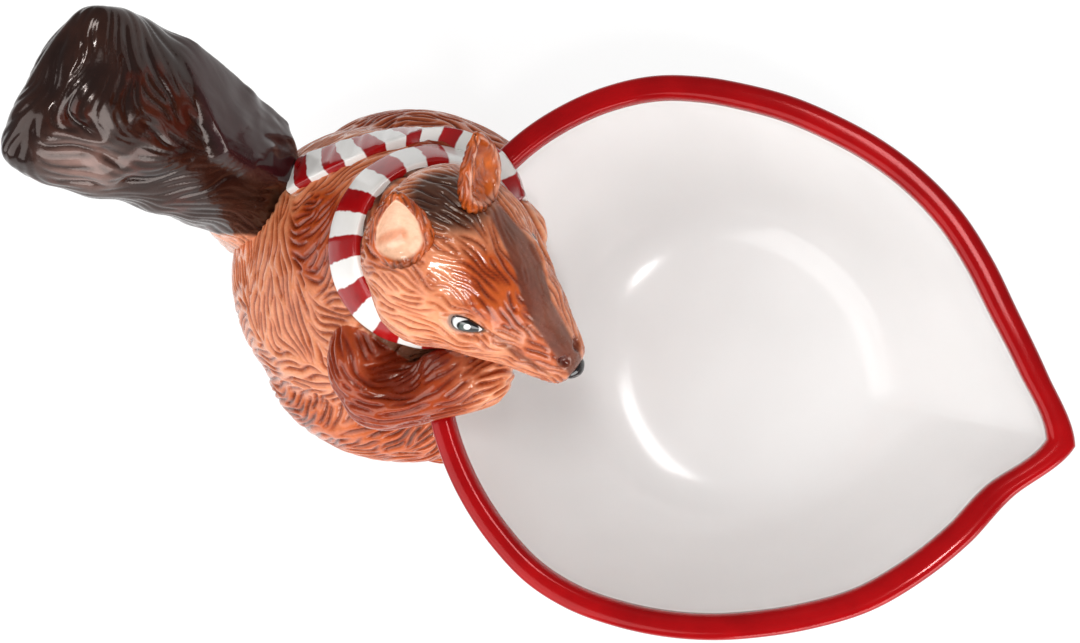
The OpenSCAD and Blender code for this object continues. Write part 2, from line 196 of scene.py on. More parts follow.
# The wall's profile: share of its height, then how far it has spread from the foot to the rim
WALL = [[0, 0.02], [0.03, 0.12], [0.09, 0.25], [0.2, 0.41], [0.36, 0.58], [0.55, 0.74], [0.75, 0.88],
        [0.9, 0.97], [1.0, 1.0]]


def rim_at(degrees):
    """Distance from the dish's middle to the rim's outer edge."""
    w = np.mod(degrees, 360)
    right = spline(TIP_RIGHT, (360 - w) / 180)[:, 0]
    left = spline(TIP_LEFT, w / 180)[:, 0]
    return RIM_R + (TIP_REACH - RIM_R) * np.where(w > 180, right, left)


def dish_ring(z, spread, outset, degrees):
    """A ring of the dish at height z: its spread runs from 0 at the well to 1 at the rim's inner edge."""
    r = WELL_R + (rim_at(degrees) - RIM_W - WELL_R) * spread + outset
    a = np.radians(degrees)
    return np.stack([WELL_SHIFT * (1 - spread) + r * np.cos(a), r * np.sin(a), np.full(len(a), float(z))], 1)


# Forms are worked out in the dish's frame. OFFSET takes them to the part's frame, in the outline's middle.
RIM_60 = dish_ring(WALL_TOP, 1, RIM_W, np.arange(60) * 6.0)
OFFSET = np.array([-MIDDLE_X, -(RIM_60[:, 1].max() + RIM_60[:, 1].min()) / 2, 0])


def dish_spread(z):
    """How far the outer wall has spread at height z, from 0 at the foot to 1 at the rim."""
    share = np.clip((z - FOOT_RING_H) / (WALL_TOP - RIM_W - FOOT_RING_H), 0, 1)
    table = np.array(WALL)
    return np.interp(share, table[:, 0], table[:, 1])


def out_of_dish(points, depth):
    """Points that lie deeper than depth inside the dish's outer wall come back to that depth."""
    z = points[:, 2]
    spread = dish_spread(z)
    middle = WELL_SHIFT * (1 - spread)
    x, y = points[:, 0] - middle, points[:, 1]
    r = np.hypot(x, y)
    w = np.degrees(np.arctan2(y, x))
    limit = WELL_R + (rim_at(w) - RIM_W - WELL_R) * spread + WALL_OUT - depth
    inside = (r < limit) & (z < WALL_TOP)
    push = np.where(inside, limit / np.maximum(r, 1e-6), 1)
    moved = points.copy()
    moved[:, 0] = middle + x * push
    moved[:, 1] = y * push
    return np.where(inside[:, None], moved, points)


# The trunk's stations, from the base up: middle (x, y, z), depth behind, half width, lean, depth in front.
# All but the lean are shares of the trunk's or the neck's sizes.
TRUNK = [[0.03, 0.01, 0, 0.4, 0.41, 0, 0.4], [0.03, 0.01, 0.11, 0.46, 0.48, 0, 0.47],
         [0.04, 0.01, 0.27, 0.5, 0.5, 2, 0.5], [0.08, 0.015, 0.43, 0.47, 0.49, 6, 0.46],
         [0.15, 0.025, 0.57, 0.4, 0.45, 10, 0.38]]
NECK = [[0.28, 0.065, 0.69, 0.61, 0.665, 15, 0.5], [0.405, 0.1, 0.78, 0.53, 0.555, 21, 0.5],
        [0.495, 0.12, 0.86, 0.47, 0.475, 27, 0.42], [0.55, 0.13, 0.94, 0.37, 0.37, 31, 0.37],
        [0.58, 0.135, 0.985, 0.22, 0.22, 33, 0.22], [0.59, 0.135, 1, 0.08, 0.08, 33, 0.08]]


def trunk_station(s, depth, width):
    middle = [SEAT_X + s[0] * BODY_L, s[1] * BODY_W, s[2] * NECK_H]
    return middle + [s[3] * depth, s[4] * width, s[5], s[6] * depth]


BODY = [trunk_station(s, BODY_L, BODY_W) for s in TRUNK] + [trunk_station(s, NECK_D, NECK_D) for s in NECK]
SCARF_SHARE = 0.7  # how far up the trunk the scarf goes round


def body_point(share, degrees):
    """Points on the trunk, share of the way up the back and degrees round from the chest."""
    s = spline(BODY, share)
    a, lean = np.radians(degrees), np.radians(s[:, 5])
    depth = np.where(np.cos(a) > 0, s[:, 6], s[:, 3]) * np.cos(a)
    side = s[:, 4] * np.sin(a)
    return s[:, :3] + np.stack([np.cos(lean) * depth, side, -np.sin(lean) * depth], 1)


def body_rings(m, n):
    w = np.arange(n) * 360 / n
    return np.array([body_point(np.full(n, k / (m - 1)), w) for k in range(m)])


def limb_rings(stations, side, m, n):
    """Rings of a limb: each station is a middle point, a half width and a half height."""
    t = (1 - np.cos(np.linspace(0, math.pi, m))) / 2
    s = spline(stations, t)
    ahead, behind = spline(stations, np.minimum(t + 0.02, 1)), spline(stations, np.maximum(t - 0.02, 0))
    along = unit(ahead[:, :3] - behind[:, :3])
    side = np.array(side, float)
    across = unit(side - along * (along @ side)[:, None])
    top = np.cross(along, across)
    w = np.arange(n) * 2 * math.pi / n
    return (s[:, None, :3] + across[:, None] * (s[:, 3:4] * np.cos(w))[..., None]
            + top[:, None] * (s[:, 4:5] * np.sin(w))[..., None])


# Stations from back to front: place along, out and up, half width and half height, as shares of the sizes
HAUNCH_SHARES = [[-0.44, -0.1, 0.38, 0.1, 0.12], [-0.38, -0.05, 0.42, 0.26, 0.3],
                 [-0.22, 0.02, 0.48, 0.44, 0.46], [0.02, 0.08, 0.48, 0.5, 0.5],
                 [0.24, 0.12, 0.4, 0.44, 0.43], [0.42, 0.14, 0.29, 0.3, 0.3], [0.5, 0.14, 0.24, 0.1, 0.1]]
FOOT_SHARES = [[-0.5, -0.1, 0.4, 0.14, 0.14], [-0.42, -0.08, 0.42, 0.34, 0.34], [-0.15, 0, 0.46, 0.48, 0.48],
               [0.15, 0.02, 0.44, 0.5, 0.5], [0.36, 0, 0.38, 0.46, 0.42], [0.5, -0.04, 0.34, 0.16, 0.16]]
HAUNCH_X, FOOT_X = SEAT_X + 0.13 * BODY_L, SEAT_X + 0.23 * BODY_L


def leg_stations(shares, x, y, length, thick, high):
    return [[x + s[0] * length, y + s[1] * thick, s[2] * high, s[3] * thick, s[4] * high] for s in shares]


HAUNCH = leg_stations(HAUNCH_SHARES, HAUNCH_X, 0.36 * BODY_W, HAUNCH_L, HAUNCH_T, HAUNCH_H)
FOOT = leg_stations(FOOT_SHARES, FOOT_X, 0.5 * BODY_W, FOOT_L, FOOT_W, FOOT_H)
PAW_R = RIM_R - RIM_W - PAW_REACH
FOREARM_ANGLE, PAW_ANGLE = 22.8, 21.0
REST_Z = BOWL_H + 0.7 * WRIST_R


def round_part(degrees, r, z):
    """A place on the left at radius r from the dish's middle, degrees round from the squirrel."""
    a = math.radians(degrees)
    return [-r * math.cos(a), r * math.sin(a), z]


UPPER_ARM = [
    [SEAT_X + 0.3 * BODY_L, ELBOW_OUT - 2 * ARM_R, 0.76 * NECK_H, 0.7 * ARM_R, 0.7 * ARM_R],
    [SEAT_X + 0.31 * BODY_L, ELBOW_OUT - ARM_R, 0.755 * NECK_H, 1.05 * ARM_R, 1.05 * ARM_R],
    [SEAT_X + 0.35 * BODY_L, ELBOW_OUT - 0.3 * ARM_R, 0.735 * NECK_H, 1.05 * ARM_R, 1.05 * ARM_R],
    [SEAT_X + 0.375 * BODY_L, ELBOW_OUT + 0.35 * ARM_R, 0.73 * NECK_H, 0.7 * ARM_R, 0.75 * ARM_R],
    [SEAT_X + 0.38 * BODY_L, ELBOW_OUT + 0.6 * ARM_R, 0.725 * NECK_H, 0.2 * ARM_R, 0.25 * ARM_R]]
FOREARM = [
    [-RIM_R - 1.3 * ARM_R, ELBOW_OUT - 0.1 * ARM_R, 0.72 * NECK_H, 0.2 * ARM_R, 0.2 * ARM_R],
    [-RIM_R - 1.1 * ARM_R, ELBOW_OUT - 0.1 * ARM_R, 0.725 * NECK_H, 0.7 * ARM_R, 0.65 * ARM_R],
    [-RIM_R - 0.4 * ARM_R, ELBOW_OUT - 0.05 * ARM_R, 0.735 * NECK_H, ARM_R, 0.95 * ARM_R],
    [-RIM_R + 0.5 * ARM_R, ELBOW_OUT - 0.3 * ARM_R, REST_Z - 0.2 * WRIST_R, 1.45 * WRIST_R, 1.2 * WRIST_R],
    round_part(FOREARM_ANGLE, RIM_R - RIM_W, REST_Z) + [1.35 * WRIST_R, 1.15 * WRIST_R],
    round_part(FOREARM_ANGLE, PAW_R + 0.5 * PAW_REACH, REST_Z) + [1.3 * WRIST_R, 1.08 * WRIST_R],
    round_part(PAW_ANGLE, PAW_R + 0.2 * PAW_REACH, REST_Z - 0.2 * WRIST_R) + [1.1 * WRIST_R, WRIST_R],
    round_part(PAW_ANGLE, PAW_R + 0.04 * PAW_REACH, REST_Z - 0.5 * WRIST_R) + [0.5 * WRIST_R, 0.6 * WRIST_R],
    round_part(PAW_ANGLE, PAW_R, REST_Z - 0.6 * WRIST_R) + [0.15 * WRIST_R, 0.15 * WRIST_R]]
PAW = np.array(FOREARM[-1][:3])

# The head's stations, from nape to snout: place along and up, half width and half height
HEAD_SHARES = [[-0.36, 0.02, 0.08, 0.08], [-0.335, 0.02, 0.24, 0.25], [-0.25, 0.02, 0.41, 0.41],
               [-0.08, 0.02, 0.5, 0.5], [0.1, 0.01, 0.475, 0.48], [0.25, -0.03, 0.395, 0.41],
               [0.39, -0.09, 0.285, 0.32], [0.51, -0.14, 0.21, 0.24], [0.59, -0.17, 0.165, 0.18],
               [0.63, -0.175, 0.12, 0.13], [0.64, -0.175, 0.04, 0.04]]
HEAD = [[s[0] * HEAD_L, 0, s[1] * HEAD_H, s[2] * HEAD_W, s[3] * HEAD_H] for s in HEAD_SHARES]
SKULL_AT = np.array([SEAT_X + 0.635 * BODY_L, 0.09 * BODY_W, 1.04 * NECK_H])
HEAD_AXES = turned("Z", -HEAD_TURN) @ turned("Y", HEAD_DROP) @ turned("X", -HEAD_TILT)
NOSE_AT = np.array([0.615 * HEAD_L, 0, -0.13 * HEAD_H])


def from_head(p):
    """Points of the head's own frame, +X to the nose and +Z to the crown, in the dish's frame."""
    return p @ HEAD_AXES.T + SKULL_AT


def to_head(p):
    return (p - SKULL_AT) @ HEAD_AXES


def mirrored(rings):
    return rings[:, ::-1] * MIRROR


PAIRED = [("haunch", limb_rings(HAUNCH, (0, 1, 0), 60, 72)), ("foot", limb_rings(FOOT, (0, 1, 0), 44, 48)),
          ("arm", limb_rings(UPPER_ARM, (0, 0, 1), 40, 48)), ("arm", limb_rings(FOREARM, (0, 0, 1), 60, 48))]
FORMS = [("body", body_rings(90, 128))]
FORMS += [("left_" + name, rings) for name, rings in PAIRED]
FORMS += [("right_" + name, mirrored(rings)) for name, rings in PAIRED]
FORMS.append(("head", from_head(limb_rings(HEAD, (0, 1, 0), 80, 88))))
LABELS = ["body", "left_haunch", "left_foot", "left_arm", "right_haunch", "right_foot", "right_arm", "head"]


def voxel_union(solids, size):
    """One skin round several solids that lie in each other, of even quads about size mm wide."""
    points, sets, count = [], [], 0
    for p, faces in solids:
        points.append(p)
        sets += [f + count for f in faces]
        count += len(p)
    quads = np.vstack([f for f in sets if f.shape[1] == 4])
    triangles = np.vstack([f for f in sets if f.shape[1] == 3])
    mesh = build_mesh("union", np.vstack(points), [quads, triangles])
    holder = new_object("union", mesh)
    modifier = holder.modifiers.new("union", "REMESH")
    modifier.mode = "VOXEL"
    modifier.voxel_size = size * MM
    modifier.adaptivity = 0
    evaluated = holder.evaluated_get(bpy.context.evaluated_depsgraph_get())
    result = evaluated.to_mesh()
    found = np.empty(len(result.vertices) * 3, np.float32)
    result.vertices.foreach_get("co", found)
    corners = np.empty(len(result.loops), np.int32)
    result.loops.foreach_get("vertex_index", corners)
    evaluated.to_mesh_clear()
    bpy.data.objects.remove(holder)
    return found.reshape(-1, 3).astype(float) / MM, corners.reshape(-1, 4)


def edges_of(quads):
    pairs = np.vstack([quads[:, [0, 1]], quads[:, [1, 2]], quads[:, [2, 3]], quads[:, [3, 0]]])
    return np.unique(np.sort(pairs, axis=1), axis=0)


def average_round(values, edges, degree):
    total = np.empty_like(values)
    for k in range(values.shape[1]):
        total[:, k] = (np.bincount(edges[:, 0], values[edges[:, 1], k], len(values))
                       + np.bincount(edges[:, 1], values[edges[:, 0], k], len(values)))
    return total / degree[:, None]


def smoothed(points, edges, rounds, amount):
    degree = np.maximum(np.bincount(edges.ravel(), minlength=len(points)), 1)
    amount = np.broadcast_to(amount, len(points))[:, None]
    for _ in range(rounds):
        points = points + (average_round(points, edges, degree) - points) * amount
    return points


def vertex_normals(points, quads):
    face = np.cross(points[quads[:, 2]] - points[quads[:, 0]], points[quads[:, 3]] - points[quads[:, 1]])
    total = np.zeros_like(points)
    for k in range(4):
        for axis in range(3):
            total[:, axis] += np.bincount(quads[:, k], face[:, axis], len(points))
    return unit(total)


# Carved hair
def hair_field(points, normals, anchors, wave, swirl, seed):
    """Hair directions on the surface, between given ones, with a wave that neighbouring hairs share.

    Each anchor is a place and the way the hair lies there; wave and swirl are degrees and the width in mm.
    """
    anchors = np.array(anchors, float)
    gap = ((points[:, None] - anchors[None, :, :3]) ** 2).sum(2)
    field = (1 / (gap + 60) ** 2) @ unit(anchors[:, 3:])
    field = unit(field - normals * (field * normals).sum(1, keepdims=True))
    angle = np.radians(wave[0] * noise(points, wave[1], seed) + swirl[0] * noise(points, swirl[1], seed + 1))
    return turned_about(normals, field, angle)


def turned_about(normals, field, angle):
    """The field turned about the normals, each vector by its own angle in radians."""
    return field * np.cos(angle)[:, None] + np.cross(normals, field) * np.sin(angle)[:, None]


def comb(points, quads, field, seeds, spacing, length, step):
    """Strokes traced along the field, kept about spacing apart, each an array of points."""
    tree = BVHTree.FromPolygons(points.tolist(), quads.tolist())
    corner = quads[:, 0].tolist()
    ways = [Vector(v) for v in field]
    cells = {}

    def cell(p):
        return tuple(int(v // spacing) for v in p)

    def crowded(p, gap, own):
        """True where another stroke passes within the gap."""
        for key in itertools.product(*(range(v - 1, v + 2) for v in cell(p))):
            for stroke, q in cells.get(key, ()):
                if stroke != own and (q - p).length < gap:
                    return True
        return False

    strokes = []
    for number, (seed, reach) in enumerate(zip(seeds, length)):
        start = Vector(points[seed])
        if crowded(start, spacing, number):
            continue
        halves = []
        for sign in (1, -1):
            p, way, run, path = start.copy(), ways[seed] * sign, 0.0, []
            while run < reach / 2:
                p, _, face, _ = tree.find_nearest(p + way * step, 4)
                if p is None:
                    break
                turn = ways[corner[face]]
                turn = turn if turn.dot(way) > 0 else -turn
                if turn.dot(way) < 0.3 or crowded(p, spacing * 0.62, number):
                    break
                way = turn
                run += step
                path.append(p)
            halves.append(path)
        stroke = halves[1][::-1] + [start] + halves[0]
        if len(stroke) * step < reach * 0.2:
            continue
        for p in stroke:
            cells.setdefault(cell(p), []).append((number, p))
        strokes.append(np.array(stroke))
    return strokes


def point_tree(points):
    tree = KDTree(len(points))
    for i, p in enumerate(points):
        tree.insert(p, i)
    tree.balance()
    return tree


def engrave(points, strokes, narrow, wide, rng):
    """How deep the strokes cut at each point, from 0 to 1: the sharp groove and the soft fall beside it."""
    tree = point_tree(points)
    index, gap, weight = [], [], []
    for stroke in strokes:
        n = len(stroke)
        strength = rng.uniform(0.7, 1.0)
        to_end = np.minimum(np.arange(n), np.arange(n)[::-1]) + 1
        fade = np.minimum(1, to_end / max(2, n * 0.22)) * strength
        for p, w in zip(stroke, fade):
            for _, i, d in tree.find_range(p, wide * 2):
                index.append(i)
                gap.append(d)
                weight.append(w)
    index, gap, weight = np.array(index), np.array(gap), np.array(weight)
    sharp, soft = np.zeros(len(points)), np.zeros(len(points))
    np.maximum.at(sharp, index, weight * np.exp(-((gap / narrow) ** 2)))
    np.maximum.at(soft, index, weight * np.exp(-((gap / wide) ** 2)))
    return sharp, soft


# Materials
def new_material(name):
    material = bpy.data.materials.new(name)
    material.use_nodes = True
    nodes = material.node_tree.nodes
    nodes.clear()
    output = nodes.new("ShaderNodeOutputMaterial")
    shader = nodes.new("ShaderNodeBsdfPrincipled")
    material.node_tree.links.new(shader.outputs["BSDF"], output.inputs["Surface"])
    return material, material.node_tree, shader


def new_node(tree, kind, parts=(), **values):
    """A node's first output: parts are linked to its first sockets, values are set on its named ones."""
    node = tree.nodes.new(kind)
    for key, value in values.items():
        node.inputs[key.replace("_", " ")].default_value = value
    for socket, part in zip(node.inputs, parts):
        tree.links.new(part, socket)
    return node.outputs[0]


def math_node(tree, operation, a, b):
    node = tree.nodes.new("ShaderNodeMath")
    node.operation = operation
    tree.links.new(a, node.inputs[0])
    if isinstance(b, bpy.types.NodeSocket):
        tree.links.new(b, node.inputs[1])
    else:
        node.inputs[1].default_value = b
    return node.outputs[0]


def noise_node(tree, scale, detail=3.0):
    """Noise of so many features to the metre, from 0 to 1."""
    coords = tree.nodes.new("ShaderNodeTexCoord")
    place = coords.outputs["Object"]
    return new_node(tree, "ShaderNodeTexNoise", [place], Scale=scale, Detail=detail, Roughness=0.55)


def mapped(tree, value, low, high, to_low, to_high):
    span = {"From_Min": low, "From_Max": high, "To_Min": to_low, "To_Max": to_high}
    return new_node(tree, "ShaderNodeMapRange", [value], **span)


def wandering(tree, scale, low, high, detail=3.0, part=(0.3, 0.7)):
    """A value that wanders from low to high over the surface; part is the noise that it takes."""
    return mapped(tree, noise_node(tree, scale, detail), *part, low, high)


def mixed(tree, factor, a, b, how="MIX"):
    """Colour b over colour a by factor; each may be a colour or a socket."""
    node = tree.nodes.new("ShaderNodeMix")
    node.data_type = "RGBA"
    node.blend_type = how
    for value, socket in ((factor, node.inputs[0]), (a, node.inputs[6]), (b, node.inputs[7])):
        if isinstance(value, bpy.types.NodeSocket):
            tree.links.new(value, socket)
        elif socket == node.inputs[0]:
            socket.default_value = value
        else:
            socket.default_value = (*value, 1)
    return node.outputs[2]


def bumped(tree, shader, value, strength, distance):
    node = tree.nodes.new("ShaderNodeBump")
    node.inputs["Strength"].default_value = strength
    node.inputs["Distance"].default_value = distance
    tree.links.new(value, node.inputs["Height"])
    tree.links.new(node.outputs["Normal"], shader.inputs["Normal"])


def attribute(tree, name, output):
    node = tree.nodes.new("ShaderNodeAttribute")
    node.attribute_name = name
    return node.outputs[output]


def set_coat(shader, weight, rough):
    shader.inputs["Coat Weight"].default_value = weight
    shader.inputs["Coat Roughness"].default_value = rough


def painted_glaze(name, rough, coat, mottle, grain, tint=(1, 1, 1)):
    """A glossy glaze whose colour is painted on the mesh, broken up by fine brush grain."""
    material, tree, shader = new_material(name)
    paint = attribute(tree, "glaze", "Color")
    fine = wandering(tree, grain, 1 - mottle, 1 + mottle)
    shade = new_node(tree, "ShaderNodeCombineColor", [fine, fine, fine])
    tree.links.new(mixed(tree, 1.0, paint, shade, "MULTIPLY"), shader.inputs["Base Color"])
    tree.links.new(wandering(tree, 160, *rough), shader.inputs["Roughness"])
    shader.inputs["Specular IOR Level"].default_value = 0.4
    shader.inputs["Specular Tint"].default_value = (*tint, 1)
    set_coat(shader, coat, 0.06)
    bumped(tree, shader, noise_node(tree, 900), 0.12, 0.0003)
    return material


FUR_GLAZE = painted_glaze("fur_glaze", (0.2, 0.32), 0.42, 0.1, 700, (1.0, 0.74, 0.56))
TAIL_GLAZE = painted_glaze("tail_glaze", (0.12, 0.22), 0.16, 0.15, 400, (1.0, 0.84, 0.78))
DETAIL_GLAZE = painted_glaze("detail_glaze", (0.06, 0.12), 0.6, 0.05, 500)


# Each paint wanders between two tones
DISH_WHITES = linear(245, 244, 243), linear(250, 249, 248)
DISH_REDS = linear(152, 3, 9), linear(182, 8, 14)
SCARF_REDS = linear(148, 6, 12), linear(184, 14, 18)
SCARF_WHITES = linear(244, 241, 236), linear(253, 251, 248)
RED_SHEEN = (1, 0.3, 0.3)  # keeps the red glaze red where it is lit from the side


def white_glaze():
    """White inside and out, and red where the mesh says rim, with a border that wavers a little."""
    material, tree, shader = new_material("white_glaze")
    white = mixed(tree, wandering(tree, 18, 0, 1, 2.0, (0.35, 0.65)), *DISH_WHITES)
    red = mixed(tree, wandering(tree, 60, 0, 1, 4.0), *DISH_REDS)
    band = attribute(tree, "rim", "Fac")
    border = math_node(tree, "ADD", band, wandering(tree, 140, -0.05, 0.05, 2.0))
    mask = mapped(tree, border, 0.46, 0.54, 0, 1)
    tree.links.new(mixed(tree, mask, white, red), shader.inputs["Base Color"])
    tree.links.new(mixed(tree, mask, (1, 1, 1), RED_SHEEN), shader.inputs["Specular Tint"])
    tree.links.new(wandering(tree, 40, 0.12, 0.18), shader.inputs["Roughness"])
    set_coat(shader, 0.12, 0.08)
    bumped(tree, shader, noise_node(tree, 28, 1.0), 0.05, 0.0008)
    return material


def scarf_glaze():
    """Red and white stripes across the band; stripe counts them along it."""
    material, tree, shader = new_material("scarf_glaze")
    stripe = attribute(tree, "stripe", "Fac")
    place = math_node(tree, "ADD", stripe, wandering(tree, 220, -0.05, 0.05, 2.0))
    mask = mapped(tree, math_node(tree, "PINGPONG", place, 1.0), 0.47, 0.53, 0, 1)
    red = mixed(tree, wandering(tree, 90, 0, 1, 4.0), *SCARF_REDS)
    white = mixed(tree, wandering(tree, 60, 0, 1, 3.0, (0.35, 0.7)), *SCARF_WHITES)
    tree.links.new(mixed(tree, mask, white, red), shader.inputs["Base Color"])
    tree.links.new(wandering(tree, 120, 0.12, 0.22), shader.inputs["Roughness"])
    set_coat(shader, 0.2, 0.05)
    bumped(tree, shader, noise_node(tree, 300, 2.0), 0.08, 0.0004)
    return material


WHITE_GLAZE = white_glaze()
SCARF_GLAZE = scarf_glaze()

RIM_FLAT, WELL_SOFT = 0.55, 12.0
ROUND_STEPS, WALL_STEPS, RIM_STEPS, FLOOR_STEPS = 540, 60, 28, 24
FLOOR_DISHED = 0.02


def make_dish():
    """The dish in one loft, from under its foot up the outer wall, over the rim and down to the floor."""
    w = np.arange(ROUND_STEPS) * 360 / ROUND_STEPS
    stations = spline(WALL, np.linspace(0, 1, WALL_STEPS))
    rings, rim = [], []

    def put(ring, mark):
        """Adds a ring; mark is 1 where its glaze is red."""
        rings.append(ring)
        rim.append(np.full(ROUND_STEPS, mark))

    foot_inside = FOOT_R - FOOT_RING_W
    put(dish_ring(0, 0, foot_inside - WELL_R, w) + [0, 0, FOOT_RING_H], 0)
    for r, z in ((foot_inside, 0.6), (foot_inside + 0.6, 0), (FOOT_R - 0.8, 0), (FOOT_R - 0.1, 0.5),
                 (FOOT_R, FOOT_RING_H - 0.4)):
        put(dish_ring(z, 0, r - WELL_R, w), 0)
    for s0, s1 in stations[:-1]:
        z = FOOT_RING_H + (WALL_TOP - RIM_W - FOOT_RING_H) * s0
        put(dish_ring(z, s1, WALL_OUT, w), 0)
    for a in np.linspace(0, 180, RIM_STEPS):
        up, across = math.sin(math.radians(a)), math.cos(math.radians(a))
        z = WALL_TOP + RIM_RISE * up**RIM_FLAT
        put(dish_ring(z, 1, RIM_RISE * (1 + math.copysign(abs(across) ** 0.8, across)), w), 1)
    # the red ends just under the rim's inner edge
    put(dish_ring(WALL_TOP - 0.5, 1, 0, w), 1)
    put(dish_ring(WALL_TOP - 1.0, 1, 0, w), 0)
    first_inside = len(rings)
    for s0, s1 in stations[::-1]:
        z = FLOOR_Z + (WALL_TOP - FLOOR_Z) * s0
        if z < WALL_TOP - 1.2:
            put(dish_ring(z, s1, 0, w), 0)
    edge = rings[-1]
    for f in np.linspace(1, 0, FLOOR_STEPS)[1:-1]:
        put(edge * [f, f, 1] + [WELL_SHIFT * (1 - f), 0, 0] - [0, 0, FLOOR_DISHED * (1 - f)], 0)
    rings = np.array(rings)
    # the wall runs into the floor in a soft hollow: each column is averaged along its length below the rim
    inside = rings[first_inside:]
    run = np.concatenate([[0], np.cumsum(np.linalg.norm(np.diff(inside, axis=0), axis=2).mean(1))])
    weight = np.exp(-0.5 * ((run[:, None] - run) / WELL_SOFT) ** 2) * np.gradient(run)
    soft = np.tensordot(weight / weight.sum(1, keepdims=True), inside, 1)
    amount = (smoothstep(0, 30, run) * smoothstep(run[-1], run[-1] - 5, run))[:, None, None]
    rings[first_inside:] = inside * (1 - amount) + soft * amount
    points, faces = closed_loft(rings)
    rim = np.concatenate(rim + [[0.0, 0.0]])
    add_piece("dish", points, faces, WHITE_GLAZE, "white_glaze", ["bowl"], rim=rim)


make_dish()


# The squirrel's skin: all of its forms as one
VOXEL = 0.5
solids = []
for _, rings in FORMS:
    rings = rings.copy()
    rings[..., 2] = np.maximum(rings[..., 2], 0)
    solids.append(closed_loft(rings))
skin, quads = voxel_union(solids, VOXEL)

# each point belongs to the form whose surface is nearest
form_points, form_faces, face_label, count = [], [], [], 0
for (label, _), (p, faces) in zip(FORMS, solids):
    form_points.append(p)
    for f in faces:
        form_faces += (f + count).tolist()
        face_label += [LABELS.index(label)] * len(f)
    count += len(p)
form_tree = BVHTree.FromPolygons(np.vstack(form_points).tolist(), form_faces)
owner = np.array([face_label[form_tree.find_nearest(p)[2]] for p in skin.tolist()])

# the creases between the forms are softened, and what is close to the table lies flat on it
SOFTENING, FLAT_BELOW = 10, 0.7
skin = smoothed(skin, edges_of(quads), int(SOFTENING / VOXEL**2), 0.5)
skin[:, 2] = np.where(skin[:, 2] < FLAT_BELOW, 0, skin[:, 2])


def near(points, centre, radius, soft):
    """1 near a centre, falling to 0 at radius; radius may be one number or one for each axis."""
    d = np.linalg.norm((points - np.array(centre)) / np.array(radius, float), axis=1)
    return 1 - smoothstep(1 - soft, 1, d)


def near_both(points, centre, radius, soft):
    """The same for a centre on the left and its mirror image on the right."""
    return near(points, centre, radius, soft) + near(points, centre * MIRROR, radius, soft)


def in_part(name):
    return owner == LABELS.index(name)


def gap_to_path(points, path):
    """Distance of each point from a smooth line through the places of path."""
    line = spline(path, np.linspace(0, 1, 40))
    best = np.full(len(points), np.inf)
    for a, b in zip(line[:-1], line[1:]):
        run = b - a
        t = np.clip((points - a) @ run / (run @ run), 0, 1)
        best = np.minimum(best, np.linalg.norm(points - a - t[:, None] * run, axis=1))
    return best


local = to_head(skin)
on_head = in_part("head")
normals = vertex_normals(skin, quads)

# An eye lies in a plane of its own: its middle, and the ways out of the head and to its front corner
EYE_MIDDLES = {-1: np.array([12.1, -15.8, 11.4]), 1: np.array([16.5, 15.6, 9.0])}
EYE_OUT, EYE_FRONT = np.array([0.22, 0.70, 0.68]), np.array([0.96, -0.277, -0.025])
EYE_HALF, LID_TOP, LID_LOW = 4.7, 1.2, 3.0
CHEEK_LINE = np.array([[17, 13.6, 10.6], [22, 12.6, 8.6], [28, 11.3, 5.0], [35, 9.2, 0.6], [41, 6.6, -3.2]])
NOSTRIL, NOSTRIL_SIZE = np.array([40.6, 3.2, 1.6]), (3.4, 2.4, 2.2)
# How far the head's skin moves out, in mm: amount, place and reach along the head's axes. Softness is shared.
BY_EYE = [  # from the eye's middle, on both sides, with +Y outwards
    (-1.5, (0, 0, 0), (10, 7, 6.5)),  # the socket
    (1.0, (-1, -3.5, 5.5), (12, 5, 4)),  # the brow
    (0.8, (2, 2.5, -7), (12, 6, 4))]  # the rise under the eye
ON_HEAD = [
    (0.8, NOSE_AT + [0, 0, -3.5], (9, 7, 3.4)),  # the upper lip
    (-2.2, (16, 16, 8), (20, 8, 13)),  # the far cheek is a little hollow
    (3.2, (0, -22, -5), (16, 10, 13)),  # and the near one full
    (1.4, (14, -16, -13), (14, 9, 9))]  # the jaw lies on the near forearm
MOVE_SOFT = 0.9


def eye_axes(side):
    """The ways out of the head, to the eye's front corner and up to the brow."""
    flip = np.array([1, side, 1])
    out, front = unit(EYE_OUT * flip), EYE_FRONT * flip
    front = unit(front - out * (front @ out))
    up = np.cross(out, front)
    return out, front, up if up[2] > 0 else -up


def lid_height(x, y):
    """Height of the upper or the lower lid's outline, taller towards the rear corner."""
    return np.where(y > 0, LID_TOP * (1 - 0.5 * x / EYE_HALF), LID_LOW * (1 - 0.25 * x / EYE_HALF))


def eye_reach(points, side):
    """How far a point in the head's frame lies from the eye's middle: 1 on the lids' outline."""
    out, front, up = eye_axes(side)
    rel = points - EYE_MIDDLES[side]
    x, y = np.clip(rel @ front, -1.5 * EYE_HALF, 1.5 * EYE_HALF), rel @ up
    far = np.hypot(x / EYE_HALF, y / lid_height(x, y))
    return np.where(np.abs(rel @ out) < 6, far, 9)


press = np.zeros(len(skin))
cheek_gap = np.full(len(skin), 99.0)
eye_gap = np.full(len(skin), 9.0)
for side in (1, -1):
    flip = np.array([1, side, 1])
    cheek_gap[on_head] = np.minimum(cheek_gap[on_head], gap_to_path(local[on_head], CHEEK_LINE * flip))
    eye_gap = np.minimum(eye_gap, np.where(on_head, eye_reach(local, side), 9))
    for amount, place, reach in BY_EYE:
        press += amount * near(local, EYE_MIDDLES[side] + np.array(place) * flip, reach, MOVE_SOFT)
    press -= 1.3 * near(local, NOSTRIL * flip, NOSTRIL_SIZE, 0.8)
press -= 0.7 * np.exp(-((cheek_gap / 0.9) ** 2))
for amount, place, reach in ON_HEAD:
    press += amount * near(local, place, reach, MOVE_SOFT)
skin += normals * (press * on_head)[:, None]

